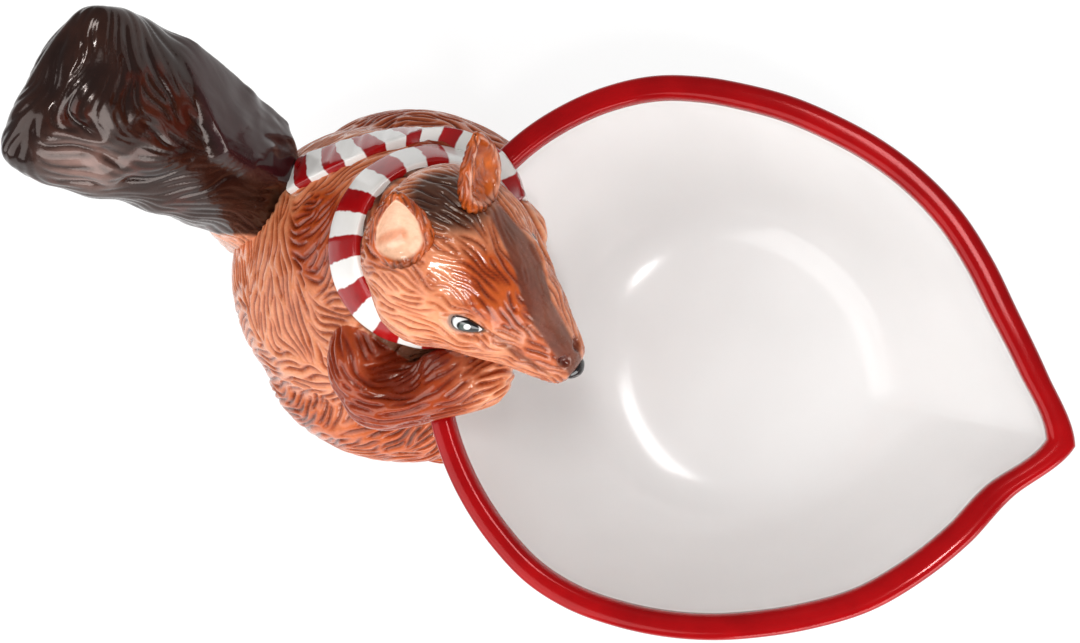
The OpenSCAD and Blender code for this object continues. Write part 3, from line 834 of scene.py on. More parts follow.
# a flat, smoother patch above the near eye: its middle, the way it faces, and the way it runs
PATCH_AT, PATCH_HALF, PATCH_DEEP = np.array([-54.0, 2.6, 123.4]), (10.5, 6.0), 6
PATCH_WAY, PATCH_RUN = unit(np.array([0.397, -0.169, 0.902])), unit(np.array([0.8, -0.6, -0.46]))
rel = skin - PATCH_AT
along = rel @ PATCH_RUN / PATCH_HALF[0]
across = rel @ np.cross(PATCH_WAY, PATCH_RUN) / PATCH_HALF[1]
patch = on_head * smoothstep(1.0, 0.6, np.hypot(along, across)) * (np.abs(rel @ PATCH_WAY) < PATCH_DEEP)
skin -= PATCH_WAY * ((rel @ PATCH_WAY) * 0.9 * patch)[:, None]

# toes and fingers: soft furrows across the front of the feet and the ends of the paws
TOE_GAP, TOE_FURROW, FINGER_GAP, FINGER_FURROW = 4.6, 1.5, 3.4, 0.6
TOES_X, FOOT_Y = FOOT_X + 0.34 * FOOT_L, FOOT[-1][1]
PAW_WAY = np.array([math.cos(math.radians(PAW_ANGLE)), -math.sin(math.radians(PAW_ANGLE)), 0])
PAW_ACROSS = np.array([-PAW_WAY[1], PAW_WAY[0], 0])
for side, name in ((1, "left"), (-1, "right")):
    at = skin * [1, side, 1]
    for offset in (-TOE_GAP, 0, TOE_GAP):
        furrow = np.exp(-(((at[:, 1] - FOOT_Y - offset) / 1.1) ** 2))
        furrow = furrow * smoothstep(TOES_X - 3, TOES_X + 5, at[:, 0])
        skin[:, 2] -= TOE_FURROW * furrow * in_part(name + "_foot") * (skin[:, 2] > 1)
    rel = at - PAW
    reach = smoothstep(-13, -5, rel @ PAW_WAY)
    for offset in (-FINGER_GAP, 0, FINGER_GAP):
        furrow = np.exp(-(((rel @ PAW_ACROSS - offset) / 0.9) ** 2)) * reach * in_part(name + "_arm")
        skin -= normals * (FINGER_FURROW * furrow)[:, None]

# the hollow in the crook of each arm
CROOK, CROOK_SIZE, CROOK_DEPTH = np.array([-78.5, 28.5, 84]), (14, 9.5, 16), 5.0
crook = np.zeros(len(skin))
for side in (1, -1):
    crook = np.maximum(crook, near(skin, CROOK * [1, side, 1], CROOK_SIZE, 0.75) * ~on_head)
skin[:, 2] -= CROOK_DEPTH * crook

# the forearms lie close under the chin
for side, name in ((1, "left_arm"), (-1, "right_arm")):
    lifted = near(skin, (-66, 20 * side, 81), (15, 7, 9), 0.9) * in_part(name)
    skin += np.array([0, -2.6 * side, 2.0]) * lifted[:, None]

# pour hole under the base: a blind recess
POUR_DEPTH = 6.0
under = np.hypot(skin[:, 0] - SEAT_X, skin[:, 1]) < POUR_D / 2
skin[:, 2] += np.where(under & (skin[:, 2] < 0.5), POUR_DEPTH, 0)

# only the arms and the head reach over the rim; what else meets the dish goes 2 mm into its wall
trunk_like = ~(in_part("left_arm") | in_part("right_arm") | in_part("head"))
skin[trunk_like] = out_of_dish(skin, 2.0)[trunk_like]

# carved hair on the skin
normals = vertex_normals(skin, quads)
rng = np.random.default_rng(SEED)

# Where each hair stands and which way it lies, in the dish's frame
BODY_HAIR = [
    (-146, -2, 64, 0.4, -0.9, 0.3), (-132, 2, 75, 0.5, -0.9, 0.2), (-119, -13, 79, 0.3, -0.9, -0.4),
    (-135, -16, 69, 0.1, -0.9, -0.3), (-113, -26, 73, 0.2, -0.8, -0.6), (-148, -28, 50, 0.6, 0.1, 0.8),
    (-136, -44, 43, 0.7, 0.4, 0.6), (-119, -37, 62, 0.8, 0.3, 0.5), (-113, 13, 87, 0.6, 0.8, 0.3),
    (-113, 6, 87, 0.6, 0.6, 0.4), (-104, -8, 88, 0.8, 0.2, 0.5), (-100, -16, 84, 0.8, 0.3, 0.5),
    (-99, -23, 78, 0.7, 0.5, 0.5), (-110, -43, 55, 0.6, 0.3, 0.7), (-123, -49, 47, 0.7, 0.4, 0.5),
    (-105, -55, 43, 0.8, 0.5, 0.3), (-93, -57, 35, 0.9, 0.4, 0.1), (-90, -47, 44, 0.9, 0.4, -0.3),
    (-84, -49, 39, 0.4, 0.9, 0.4), (-81, 51, 34, 0.9, -0.3, -0.4), (-103, 33, 84, 0.7, 0.6, -0.2),
    (-120, 40, 60, 0.2, 0.9, -0.4), (-140, 30, 60, 0.3, 0.9, -0.3), (-110, 55, 35, 0.9, 0.1, -0.4),
    (-150, 40, 30, 0.7, 0.6, -0.3), (-162, -15, 30, 0.25, -0.5, -0.8), (-172, 0, 20, 0, 0.3, -1),
    (-162, 20, 40, 0.2, 0.6, -0.7), (-117, -52, 18, 0.9, 0.1, -0.3), (-97, -50, 15, 1, 0.1, -0.1),
    (-100, 0, 60, 0, 0.2, -1), (-85, 0, 90, 0.1, 0.2, -1)]
# The same for the left arm, mirrored to the right one
ARM_HAIR = [
    (-93, 8, 78, 0.3, 0.9, -0.2), (-95, 19, 85, 0.6, 0.7, 0.4), (-94, 30, 86, 0.5, 0.9, 0.1),
    (-97, 42, 70, 0.2, 0.6, -0.8), (-87, 39, 83, 0.9, 0.4, 0.3), (-78, 41, 81, 1, -0.1, -0.3),
    (-66, 35, 82, 0.9, -0.5, 0.1), (-60, 26, 86, 0.7, -0.7, 0.1), (-53, 21, 84, 0.7, -0.6, -0.3),
    (-59, 18, 82, 0.2, -0.7, -0.6), (-49, 17, 80, 0.2, -0.4, -0.9), (-82, 28, 83, 0.5, -0.7, -0.5),
    (-72, 32, 86, 0.7, -0.6, 0.2), (-70, 44, 74, 0.9, -0.4, 0.1), (-86, 46, 74, 0.9, 0.1, 0.3)]
# The same in the head's own frame, for its right side, mirrored to its left
HEAD_HAIR = [
    (-11, -22, 4, 0.8, 0.0, 0.5), (11, -21, -4, 0.9, 0.1, 0.3), (-11, -17, 13, 0.8, 0.3, 0.5),
    (0, -18, 14, 0.9, 0.3, 0.1), (0, -3, 21, 0.9, 0.5, -0.1), (8, -2, 20, 1.0, 0.2, -0.1),
    (14, -7, 17, 0.9, 0.2, -0.3), (24, -8, 11, 0.8, 0.1, -0.5), (33, -7, 6, 0.8, 0.1, -0.6),
    (17, -18, 6, 0.9, 0.4, 0.1), (28, -13, 2, 0.8, 0.3, -0.4), (38, -9, -1, 0.9, 0.4, -0.2),
    (-21, -14, 9, 0.5, -0.1, 0.9), (-16, -2, 18, 0.8, 0.0, 0.5), (0, -16, -16, 1, 0, -0.1),
    (20, -8, -16, 1, 0, 0.2)]


field = np.zeros_like(skin)
arms = {1: in_part("left_arm"), -1: in_part("right_arm")}
limbs = arms[1] | arms[-1]
torso = ~(limbs | on_head)
field[torso] = hair_field(skin[torso], normals[torso], BODY_HAIR, (46, 5.0), (24, 17), 3)
for side, mask in arms.items():
    flip = np.array([1, side, 1, 1, side, 1])
    field[mask] = hair_field(skin[mask], normals[mask], ARM_HAIR * flip, (26, 4.6), (14, 15), 5)
both = np.vstack([HEAD_HAIR, HEAD_HAIR * np.tile(MIRROR, 2)])
head_field = hair_field(local[on_head], normals[on_head] @ HEAD_AXES, both, (44, 4.0), (12, 13), 7)
field[on_head] = head_field @ HEAD_AXES.T

order = rng.permutation(len(skin))
order = order[skin[order, 2] > 0.8]
# On the head or not, how many seeds, spacing, lengths, half width of the cut and of the fall beside it
HAIR = [(False, 26000, 2.05, (9, 30), 0.45, 1.0), (True, 14000, 1.5, (8, 26), 0.36, 0.75)]
HAIR_STEP = 0.5
groove, fall = np.zeros(len(skin)), np.zeros(len(skin))
for part, many, spacing, lengths, narrow, wide in HAIR:
    seeds = order[on_head[order] == part][:many].tolist()
    strokes = comb(skin, quads, field, seeds, spacing, rng.uniform(*lengths, len(seeds)), HAIR_STEP)
    sharp, soft = engrave(skin, strokes, narrow, wide, rng)
    groove, fall = np.maximum(groove, sharp), np.maximum(fall, soft)

# a smooth stripe runs from between the ears down the top of the snout: place along, middle and half width
STRIPE = np.array([[-4, 11, 2.0], [0, 10, 3.0], [12, 6.5, 5.0], [18, 3.4, 5.6], [26, 0.0, 4.4],
                   [40, -0.8, 3.6], [46, -0.8, 3.0]])
stripe_off = np.abs(local[:, 1] - np.interp(local[:, 0], STRIPE[:, 0], STRIPE[:, 1]))
stripe_off -= np.interp(local[:, 0], STRIPE[:, 0], STRIPE[:, 2])
snout = on_head * smoothstep(0.6, -0.6, stripe_off) * smoothstep(-6, 0, local[:, 0]) * (local[:, 2] > -6)

# the hair is carved shallow round the eyes, on the nose, at the table, on the snout, the paws and the patch
calm = smoothstep(1.15, 1.5, eye_gap) * (1 - near(local, NOSE_AT + [1, 0, 0], 6.0, 0.4) * on_head)
calm = calm * smoothstep(0.3, 2.5, skin[:, 2])
paws = near_both(skin, PAW, 11, 0.8)
depth = calm * (1 - 0.85 * snout) * (1 - 0.3 * on_head)
depth = depth * (1 - 0.75 * np.clip(paws, 0, 1)) * (1 - 0.75 * patch)
before = skin.copy()
skin = skin + normals * (depth * (0.3 * (1 - fall) - 0.3 * fall - 0.5 * groove))[:, None]
skin[:, 2] = np.maximum(skin[:, 2], 0)
normals = vertex_normals(skin, quads)

# Colours of the fur: crest, slope and valley of the hair, pale and rich, and the paints and painted shade
# laid over them
PALE = [linear(246, 170, 128), linear(220, 128, 84), linear(160, 66, 26)]
RICH = [linear(198, 88, 34), linear(154, 54, 14), linear(96, 30, 6)]
STAIN, DEEP, UMBER = linear(96, 36, 14), linear(46, 18, 10), linear(60, 38, 32)
MAROON, RUSSET, NOSTRIL_RED = linear(112, 56, 44), linear(136, 38, 10), linear(84, 20, 12)
# where shade is painted on the fur under the chin
CHIN_SHADE_AT, CHIN_SHADE_SIZE = np.array([-77, 19, 82]), (18, 12, 16)

# the edges of the scarf's ring, on the trunk and a little off it; painted shade runs along them on the fur
RING_SHADE_EDGE = []
for turn in range(0, 360, 2):
    here = body_point(SCARF_SHARE, turn)[0]
    rise = unit(body_point(SCARF_SHARE + 0.01, turn)[0] - here)
    out = unit(here - [SEAT_X + 0.3 * BODY_L, 0, here[2]])
    top = here + rise * SCARF_W / 2
    RING_SHADE_EDGE += [top, here - rise * SCARF_W / 2, top + 2.5 * out]


def fur_colour():
    """Pale or rich fur, darker down the valleys of the hair, with the darker paints and painted shade laid
    over it.
    """
    # rich is 0 on pale fur and 1 on rich fur
    large = noise(before, 15, 21) * 0.6 + noise(before, 6, 22) * 0.4
    rich = 0.3 + 0.35 * large + 0.12 * smoothstep(-150, -110, before[:, 0])
    throat = near(before, (-113, 8, 88), (19, 19, 18), 0.6) * ~on_head
    rich = rich + 0.9 * throat
    rich = rich + 0.5 * torso * smoothstep(62, 44, before[:, 2]) * (np.abs(before[:, 1]) > 20)
    rich = rich + 0.75 * limbs - 1.35 * near_both(before, PAW, 30, 0.75) * limbs
    crown = near(local, (13, -5, 17), (20, 12, 11), 0.6)
    bridge = near(local, (34, -6, 6), (14, 9, 9), 0.7)
    rich = rich + on_head * (-0.05 + 0.9 * crown + 0.5 * bridge)
    rich = rich - on_head * 0.35 * near(local, (-2, -20, 6), (20, 9, 14), 0.7)  # the near cheek is paler
    rich = rich + on_head * 0.7 * near(local, (-20, -13, 10), (9, 10, 11), 0.7)  # and the nape richer
    rich = np.clip(rich, 0, 1)
    valley = np.clip(0.6 * fall + 0.7 * groove, 0, 1) * np.maximum(np.sqrt(depth), 0.25)
    first, second = smoothstep(0.0, 0.42, valley), smoothstep(0.4, 0.95, valley)
    tones = [blend(blend(crest, slope, first), dip, second) for crest, slope, dip in (PALE, RICH)]
    base = blend(tones[0], tones[1], rich)
    # painted shade in the crook of the arms, under the chin and along the scarf's edge, and the dark marking
    # between the ears
    chin = near_both(before, CHIN_SHADE_AT, CHIN_SHADE_SIZE, 0.5)
    between_ears = 0.92 * on_head * near(local, (-13, 5, 18), (15, 12.5, 12), 0.45)
    dark = np.maximum(np.maximum(0.85 * crook, 0.85 * chin * ~on_head), between_ears)
    ring_shade_tree = point_tree(RING_SHADE_EDGE)
    beside = np.abs(before[:, 2] - 86) < 26
    gap = np.array([ring_shade_tree.find(p)[2] if b else 99.0 for p, b in zip(before.tolist(), beside)])
    # painted shade along the scarf's edge, where the head meets the ring
    dark = np.maximum(dark, 0.85 * smoothstep(2.8, 0.8, gap))
    base = blend(base, blend(UMBER, DEEP, np.clip(valley * 1.3, 0, 1)), dark)
    base = blend(base, blend(MAROON, UMBER, 0.35 + 0.35 * noise(local, 5, 23)), 0.9 * snout)
    base = blend(base, RUSSET, np.maximum(0.4 * throat, 0.6 * limbs * rich))
    base = blend(base, STAIN, 0.75 * smoothstep(1.5, 0.3, cheek_gap))
    base = blend(base, DEEP, 0.85 * smoothstep(1.32, 1.12, eye_gap))
    for side in (1, -1):
        nostril = near(local, NOSTRIL * [1, side, 1], (4.0, 2.8, 2.6), 0.6)
        base = blend(base, NOSTRIL_RED, 0.85 * on_head * nostril)
    return base


glaze = fur_colour()


# The skin as separate pieces. A cap first runs a little way in from a piece's open edge, then to a middle.
CAP_IN, CAP_MIDDLE_IN = 1.5, 9.0


def cut_out(label):
    """One form's points and faces, and the band, caps and extra points that close its open edges inside."""
    votes = (owner[quads] == LABELS.index(label)).sum(1)
    first = owner[quads[:, 0]] == LABELS.index(label)
    mine = quads[(votes > 2) | ((votes == 2) & first)]
    used, flat = np.unique(mine.ravel(), return_inverse=True)
    faces = flat.reshape(-1, 4)
    sides = np.vstack([faces[:, [k, (k + 1) % 4]] for k in range(4)])
    keys = set(map(tuple, sides.tolist()))
    open_sides = [(a, b) for a, b in keys if (b, a) not in keys]
    group = {}

    def root(v):
        while group.setdefault(v, v) != v:
            group[v] = group[group[v]]
            v = group[v]
        return v

    for a, b in open_sides:
        group[root(a)] = root(b)
    middles = sorted({root(a) for a, _ in open_sides})
    rim = sorted({v for side in open_sides for v in side})
    points, outward = skin[used], normals[used]
    ring = {v: len(used) + i for i, v in enumerate(rim)}
    extra, number = [points[v] - CAP_IN * outward[v] for v in rim], {}
    for m in middles:
        members = [v for v in rim if root(v) == m]
        number[m] = len(used) + len(extra)
        extra.append(points[members].mean(0) - CAP_MIDDLE_IN * outward[members].mean(0))
    band = [(b, a, ring[a], ring[b]) for a, b in sorted(open_sides)]
    caps = [(ring[b], ring[a], number[root(a)]) for a, b in sorted(open_sides)]
    return used, faces, band, caps, extra


for label in LABELS:
    used, faces, band, caps, extra = cut_out(label)
    points = np.vstack([skin[used]] + ([extra] if extra else []))
    shade = np.vstack([glaze[used], np.tile(STAIN, (len(extra), 1))])
    normal = np.vstack([normals[used], np.tile([0, 0, 1.0], (len(extra), 1))])
    face_sets = [np.vstack([faces, band]), np.array(caps)] if caps else [faces]
    add_piece("fur_" + label, points, face_sets, FUR_GLAZE, "fur_glaze", [label], normals=normal, glaze=shade)


# The tail's stations, from the root up: place, half width and half thickness, as shares of the named sizes
TAIL_SHARES = [[-0.25, 0.08, 0.11, 0.22, 0.3], [-0.375, 0.09, 0.14, 0.27, 0.4],
               [-0.415, 0.11, 0.21, 0.31, 0.48], [-0.37, 0.14, 0.31, 0.33, 0.52],
               [-0.31, 0.185, 0.413, 0.36, 0.48], [-0.32, 0.225, 0.547, 0.42, 0.45],
               [-0.37, 0.26, 0.693, 0.48, 0.42], [-0.43, 0.28, 0.827, 0.53, 0.38],
               [-0.47, 0.285, 0.92, 0.54, 0.32], [-0.49, 0.285, 0.98, 0.45, 0.2],
               [-0.495, 0.285, 1, 0.1, 0.06]]
TAIL = [[SEAT_X + s[0] * BODY_L, s[1] * BODY_W, s[2] * TAIL_H, s[3] * TAIL_W, s[4] * TAIL_T]
        for s in TAIL_SHARES]
# Where the tail's hair stands and which way it lies
TAIL_HAIR = [
    (-158, 44, 148, 0.1, -1, -0.2), (-162, 35, 149, 0, -1, -0.2), (-156, 33, 141, 0, -0.9, -0.4),
    (-151, 42, 133, 0.2, -0.9, -0.4), (-149, 34, 126, 0.1, -0.8, -0.6), (-169, 20, 149, -0.5, -0.8, -0.1),
    (-174, 9, 145, -0.5, -0.8, -0.3), (-166, 14, 142, 0.8, 0.4, -0.5), (-162, 14, 135, 0.6, 0.3, -0.7),
    (-158, 13, 126, 0.5, 0.1, -0.9), (-167, 5, 128, 0.5, 0, -0.9), (-152, 24, 125, 0.3, -0.3, -0.9),
    (-148, 21, 114, 0.3, -0.2, -0.9), (-152, 13, 112, 0.6, 0.4, -0.7), (-147, 13, 101, 0.6, 0.4, -0.7),
    (-143, 38, 107, 0.3, -0.6, -0.7), (-139, 30, 92, 0.2, -0.5, -0.8), (-147, 43, 118, 0.3, -0.6, -0.7),
    (-137, 27, 75, 0.1, -0.3, -0.9), (-142, 11, 84, 0.3, 0.2, -0.9), (-139, 11, 70, -0.2, 0.1, -0.9),
    (-150, 26, 55, 0, -0.2, -1), (-180, 30, 130, -0.3, -0.2, -1), (-172, 35, 100, 0.2, 0.1, -1),
    (-165, 25, 60, 0.3, 0, -1), (-172, 15, 35, 0, 0, -1), (-160, 52, 120, 0.2, -0.3, -0.9),
    (-150, 45, 80, 0.1, -0.3, -0.9), (-180, 10, 120, 0.1, 0.2, -1), (-168, 2, 105, 0.3, 0.1, -1)]

# The side towards the bowl is flattened from a ridge, given by height and y, to the far edge
FLAT_WAY, FLAT_AT = unit(np.array([0.93, 0.34, 0.12])), -107.0
FLAT_RIDGE = np.array([[60, 18], [75, 20], [91, 20], [103, 22], [111, 30], [119, 41], [126, 50]])
# The tail's lower lobes stand out most
BULGE_AT, BULGE_SIZE = (-160, 16, 132), (20, 20, 26)
# a pale pink-grey sheen is painted over the lobes
LOBE_SHEEN_AT, LOBE_SHEEN_SIZE = (-166, 11, 130), (14, 13, 20)
# Bold locks and then fine hair: seeds, spacing, lengths, half width of the cut and of the fall beside it,
# then how high the crest stands and how deep the fall and the cut go
TAIL_PASSES = [(3000, 7.0, (18, 44), 0.9, 3.1, 0.8, 0.9, 0.9),
               (18000, 2.3, (10, 34), 0.45, 1.0, 0.12, 0.12, 0.28)]
TAIL_VOXEL = 0.62
TAIL_STEP = 0.7
TAIL_DARK, TAIL_BROWN, TAIL_RUST = linear(28, 12, 9), linear(50, 25, 17), linear(128, 44, 20)
TAIL_CUT, TAIL_LOBE_SHEEN = linear(30, 15, 12), linear(154, 120, 110)
TAIL_FACE, TAIL_ROOT = linear(52, 26, 30), linear(236, 160, 122)


def flattened(points, quads):
    """The tail's points with its face flattened, and how much of each point belongs to that face."""
    beyond = points[:, 1] - np.interp(points[:, 2], FLAT_RIDGE[:, 0], FLAT_RIDGE[:, 1])
    face = smoothstep(-1.5, 1.5, beyond) * smoothstep(0.2, 0.55, vertex_normals(points, quads) @ FLAT_WAY)
    face = face * smoothstep(56, 70, points[:, 2]) * smoothstep(127, 114, points[:, 2])
    patches = noise(points, 12, 40) + smoothstep(104, 78, points[:, 2]) - 0.35
    broken = 0.6 * noise(points, (3, 3, 7), 35) * smoothstep(0.0, 0.3, patches)
    sink = (FLAT_AT - points @ FLAT_WAY) * 0.75 + 0.45 * noise(points, 7, 34) + broken
    return points + FLAT_WAY * (sink * face)[:, None], face


def tail_colour(points, face, cuts):
    """Brown and black locks, a painted pale sheen on the lobes, a dark face, and fur colours at the root."""
    (lock_sharp, lock_soft), (sharp, soft) = cuts
    darker = np.clip(0.35 + 0.8 * lock_soft + 0.3 * noise(points, 14, 36), 0, 1)
    glaze = blend(TAIL_BROWN, TAIL_DARK, darker)
    glaze = blend(glaze, TAIL_CUT, 0.7 * np.maximum(sharp, lock_sharp) * (1 - face))
    streaks = noise(points, 11, 38) + 0.25 * noise(points, 3, 37)
    streaks = smoothstep(0.25, 0.6, streaks) * smoothstep(0.5, 0.1, soft) * (1 - face)
    glaze = blend(glaze, TAIL_RUST, 0.15 * streaks)
    # painted sheen on the lower lobes
    glaze = blend(glaze, TAIL_LOBE_SHEEN, 0.75 * near(points, LOBE_SHEEN_AT, LOBE_SHEEN_SIZE, 0.8) * (1 - soft))
    glaze = blend(glaze, TAIL_FACE, 0.8 * face)
    edge = 1.5 * noise(points, 6, 39)
    beside_body = smoothstep(4.5, 2, points[:, 1] + edge) * smoothstep(74, 68, points[:, 2] + edge)
    root = np.maximum(smoothstep(40, 27, points[:, 2] + edge), beside_body)
    return blend(glaze, blend(TAIL_ROOT, STAIN, 0.8 * sharp), root)


def make_tail():
    turn = math.radians(TAIL_TURN)
    side = np.array([math.sin(turn), math.cos(turn), 0])
    points, quads = voxel_union([closed_loft(limb_rings(TAIL, side, 120, 110))], TAIL_VOXEL)
    edges = edges_of(quads)
    points, face = flattened(smoothed(points, edges, 14, 0.5), quads)
    points = smoothed(points, edges, 4, 0.4)
    normals = vertex_normals(points, quads)
    rng = np.random.default_rng(SEED + 1)
    order = rng.permutation(len(points))
    points = points + normals * (0.9 * noise(points, 9, 33) * (1 - face))[:, None]
    relief = (1 - 0.9 * face) * smoothstep(0.5, 4, points[:, 2])
    bulge = near(points, BULGE_AT, BULGE_SIZE, 0.7)
    bold, fine = relief * (0.18 + 0.95 * bulge), relief * (0.7 - 0.4 * bulge)
    cuts = []
    for amount, (many, spacing, lengths, narrow, wide, rise, drop, cut) in zip((bold, fine), TAIL_PASSES):
        field = hair_field(points, normals, TAIL_HAIR, (34, 8.0), (20, 24), 31)
        seeds = order[:many]
        strokes = comb(points, quads, field, seeds, spacing, rng.uniform(*lengths, len(seeds)), TAIL_STEP)
        sharp, soft = engrave(points, strokes, narrow, wide, rng)
        points = points + normals * (amount * (rise * (1 - soft) - drop * soft - cut * sharp))[:, None]
        normals = vertex_normals(points, quads)
        cuts.append((sharp, soft))
    points = np.where(points[:, 2:] < 0, points * [1, 1, 0], points)
    glaze = tail_colour(points, face, cuts)
    add_piece("tail_fur", points, [quads], TAIL_GLAZE, "tail_glaze", ["tail"], glaze=glaze)


make_tail()


# An ear's stations, from its root to its tip: place up, half width and half thickness
EAR_SHARES = [[0, 0.3, 0.4], [0.12, 0.4, 0.5], [0.35, 0.5, 0.5], [0.62, 0.42, 0.42], [0.85, 0.24, 0.3],
              [1, 0.06, 0.1]]
# Each ear's side, its root in the head's frame, and how far it leans out, leans back and turns
EARS = {"left": (1, [-0.075 * HEAD_L, 0.21 * HEAD_W, 0.43 * HEAD_H], (14, 34, 2)),
        "right": (-1, [-0.155 * HEAD_L, -0.3 * HEAD_W, 0.32 * HEAD_H], (-14, 34, 42))}
EAR_RUST, EAR_GINGER, EAR_ORANGE = linear(142, 50, 10), linear(206, 96, 32), linear(230, 116, 34)
EAR_CREAM, EAR_TAN, EAR_LIP = linear(238, 190, 158), linear(216, 144, 108), linear(228, 168, 142)
CUP_HIGH, CUP_HALF, CUP_WIDE = 0.54, 0.42, 0.78


def ear_colour(points, bare, high, inside, front, in_cup, sharp, carved):
    """Rust and ginger fur with carved strokes; a bare ear's cup is pale, the other ear has a pale lip."""
    glaze = blend(EAR_RUST, EAR_GINGER, 0.5 + 0.5 * noise(points, 4, 43))
    glaze = blend(glaze, STAIN, 0.9 * sharp * carved)
    if bare:
        cream = blend(EAR_CREAM, EAR_TAN, smoothstep(0.1, 0.8, noise(points, 5, 44)))
        glaze = blend(glaze, cream, in_cup)
    else:
        cup = blend(EAR_RUST, EAR_ORANGE, 0.5 + 0.5 * noise(points, 3, 45))
        glaze = blend(glaze, cup, 0.7 * in_cup * (1 - sharp))
        glaze = blend(glaze, EAR_LIP, 0.7 * smoothstep(0.28, 0.05, np.abs(inside)) * front * (1 - sharp))
    return blend(glaze, DEEP, 0.7 * smoothstep(0.16, 0.04, high))


def make_ear(name):
    side, place, (out, back, turn) = EARS[name]
    bare = name == "right"
    stations = [[0, 0, s[0] * EAR_L, s[1] * EAR_W, s[2] * EAR_T] for s in EAR_SHARES]
    points, faces = closed_loft(limb_rings(stations, (0, 1, 0), 110, 132))
    quads = faces[0]
    # the front face sinks into a cup that follows the leaf's outline
    high = np.clip(points[:, 2] / EAR_L, 0, 1)
    half = np.interp(high, [s[0] for s in EAR_SHARES], [s[1] for s in EAR_SHARES]) * EAR_W
    aside = 0.1 * half if bare else 0
    across = (points[:, 1] + aside) / (CUP_WIDE * half + 0.01)
    inside = 1 - across ** 2 - ((high - CUP_HIGH) / CUP_HALF) ** 4
    front = points[:, 0] > 0
    hollow = np.sqrt(np.clip(inside, 0, None)) * EAR_T * 0.42
    floor = 0.5 * EAR_T - hollow * 1.25
    depth = np.where(front & (inside > 0), np.clip(points[:, 0] - floor, 0, None), 0)
    points = points - np.stack([depth, 0 * depth, 0 * depth], 1)
    in_cup = smoothstep(0.0, 0.25, inside) * front
    points[:-2] = smoothed(points[:-2], edges_of(quads), 14, 0.4)
    normals = vertex_normals(points, quads)
    normals[-2:] = [[0, 0, -1], [0, 0, 1]]
    # strokes run up the ear and spread a little
    way = np.tile([0.15, 0.0, 1.0], (len(points), 1))
    way[:, 1] = points[:, 1] * 0.05
    way = unit(way - normals * (way * normals).sum(1, keepdims=True))
    field = turned_about(normals, way, np.radians(26 * noise(points, 3, 41) + 16 * noise(points, 8, 42)))
    rng = np.random.default_rng(SEED + 2 + side)
    seeds = rng.permutation(len(points) - 2)[:4000]
    strokes = comb(points, quads, field, seeds, 1.5, rng.uniform(4, 12, len(seeds)), 0.3)
    sharp, soft = engrave(points, strokes, 0.36, 0.75, rng)
    carved = 1 - (0.95 if bare else 0.1) * in_cup
    points = points + normals * (carved * (0.14 * (1 - soft) - 0.3 * sharp - 0.14 * soft))[:, None]
    glaze = ear_colour(points, bare, high, inside, front, in_cup, sharp, carved)
    axes = turned("Y", -back) @ turned("X", -side * out) @ turned("Z", side * turn)
    points = from_head(points @ axes.T + place)
    add_piece("ear_" + name, points, faces, FUR_GLAZE, "fur_glaze", [name + "_ear"], glaze=glaze)


for name in EARS:
    make_ear(name)


# Eyes and nose, set on the carved head
head_tree = BVHTree.FromPolygons(to_head(skin).tolist(), quads[on_head[quads].all(1)].tolist())
IRIS_AT, IRIS_R = (0.45, -0.95), (3.1, 2.2)
EYE_WHITE, EYE_SHEEN_GREY, EYE_BLACK = linear(240, 238, 236), linear(82, 92, 88), linear(16, 14, 16)
LID_BROWN, NOSE_BLACK = linear(44, 20, 14), linear(24, 18, 20)


def eye_colour(x, y):
    """An eye's paint at x towards its front corner and y up: iris, a painted grey sheen, a painted white
    highlight and dark lids.
    """
    iris = np.hypot((x - IRIS_AT[0]) / IRIS_R[0], (y - IRIS_AT[1]) / IRIS_R[1])
    glaze = blend(EYE_WHITE, EYE_BLACK, smoothstep(1.06, 0.96, iris))
    # a painted grey sheen on the iris
    painted_sheen = np.hypot((x - IRIS_AT[0] + 1.0) / 1.7, (y - IRIS_AT[1]) / 1.5)
    glaze = blend(glaze, EYE_SHEEN_GREY, smoothstep(1.0, 0.7, painted_sheen) * smoothstep(0.95, 0.85, iris))
    # a painted white highlight on the iris
    painted_glint = np.hypot(x - 0.15, y + 0.8)
    glaze = blend(glaze, EYE_WHITE, smoothstep(1.05, 0.85, painted_glint))
    lid = np.hypot(x / EYE_HALF, y / lid_height(x, y))
    return blend(glaze, LID_BROWN, smoothstep(0.84, 0.93, lid))


def make_eye(name, side):
    """An almond that lies on the head like a lens."""
    m, n = 36, 96
    out, front, up = eye_axes(side)
    middle = EYE_MIDDLES[side]
    u = np.linspace(0, 1, m)[:, None]
    w = np.arange(n) * 2 * math.pi / n
    x = u * EYE_HALF * np.cos(w)
    y = u * lid_height(x, np.sin(w) * np.ones_like(x)) * np.sin(w)
    above = (middle + x[..., None] * front + y[..., None] * up).reshape(-1, 3) + out * 12
    base = np.array([head_tree.ray_cast(Vector(p), Vector(-out))[0] for p in above]).reshape(m, n, 3)
    dome = 1.35 * np.sqrt(1 - 0.94 * u**2) - 0.25
    top = base + (dome * np.ones(n))[..., None] * out
    back = base[-1] - 2.5 * out
    points, faces = closed_loft(np.concatenate([top[1:], back[None]])[::-1])
    rel = points - middle
    glaze = eye_colour(rel @ front, rel @ up)
    add_piece("eye_" + name, from_head(points), faces, DETAIL_GLAZE, "fur_glaze", glaze=glaze)


make_eye("left", 1)
make_eye("right", -1)


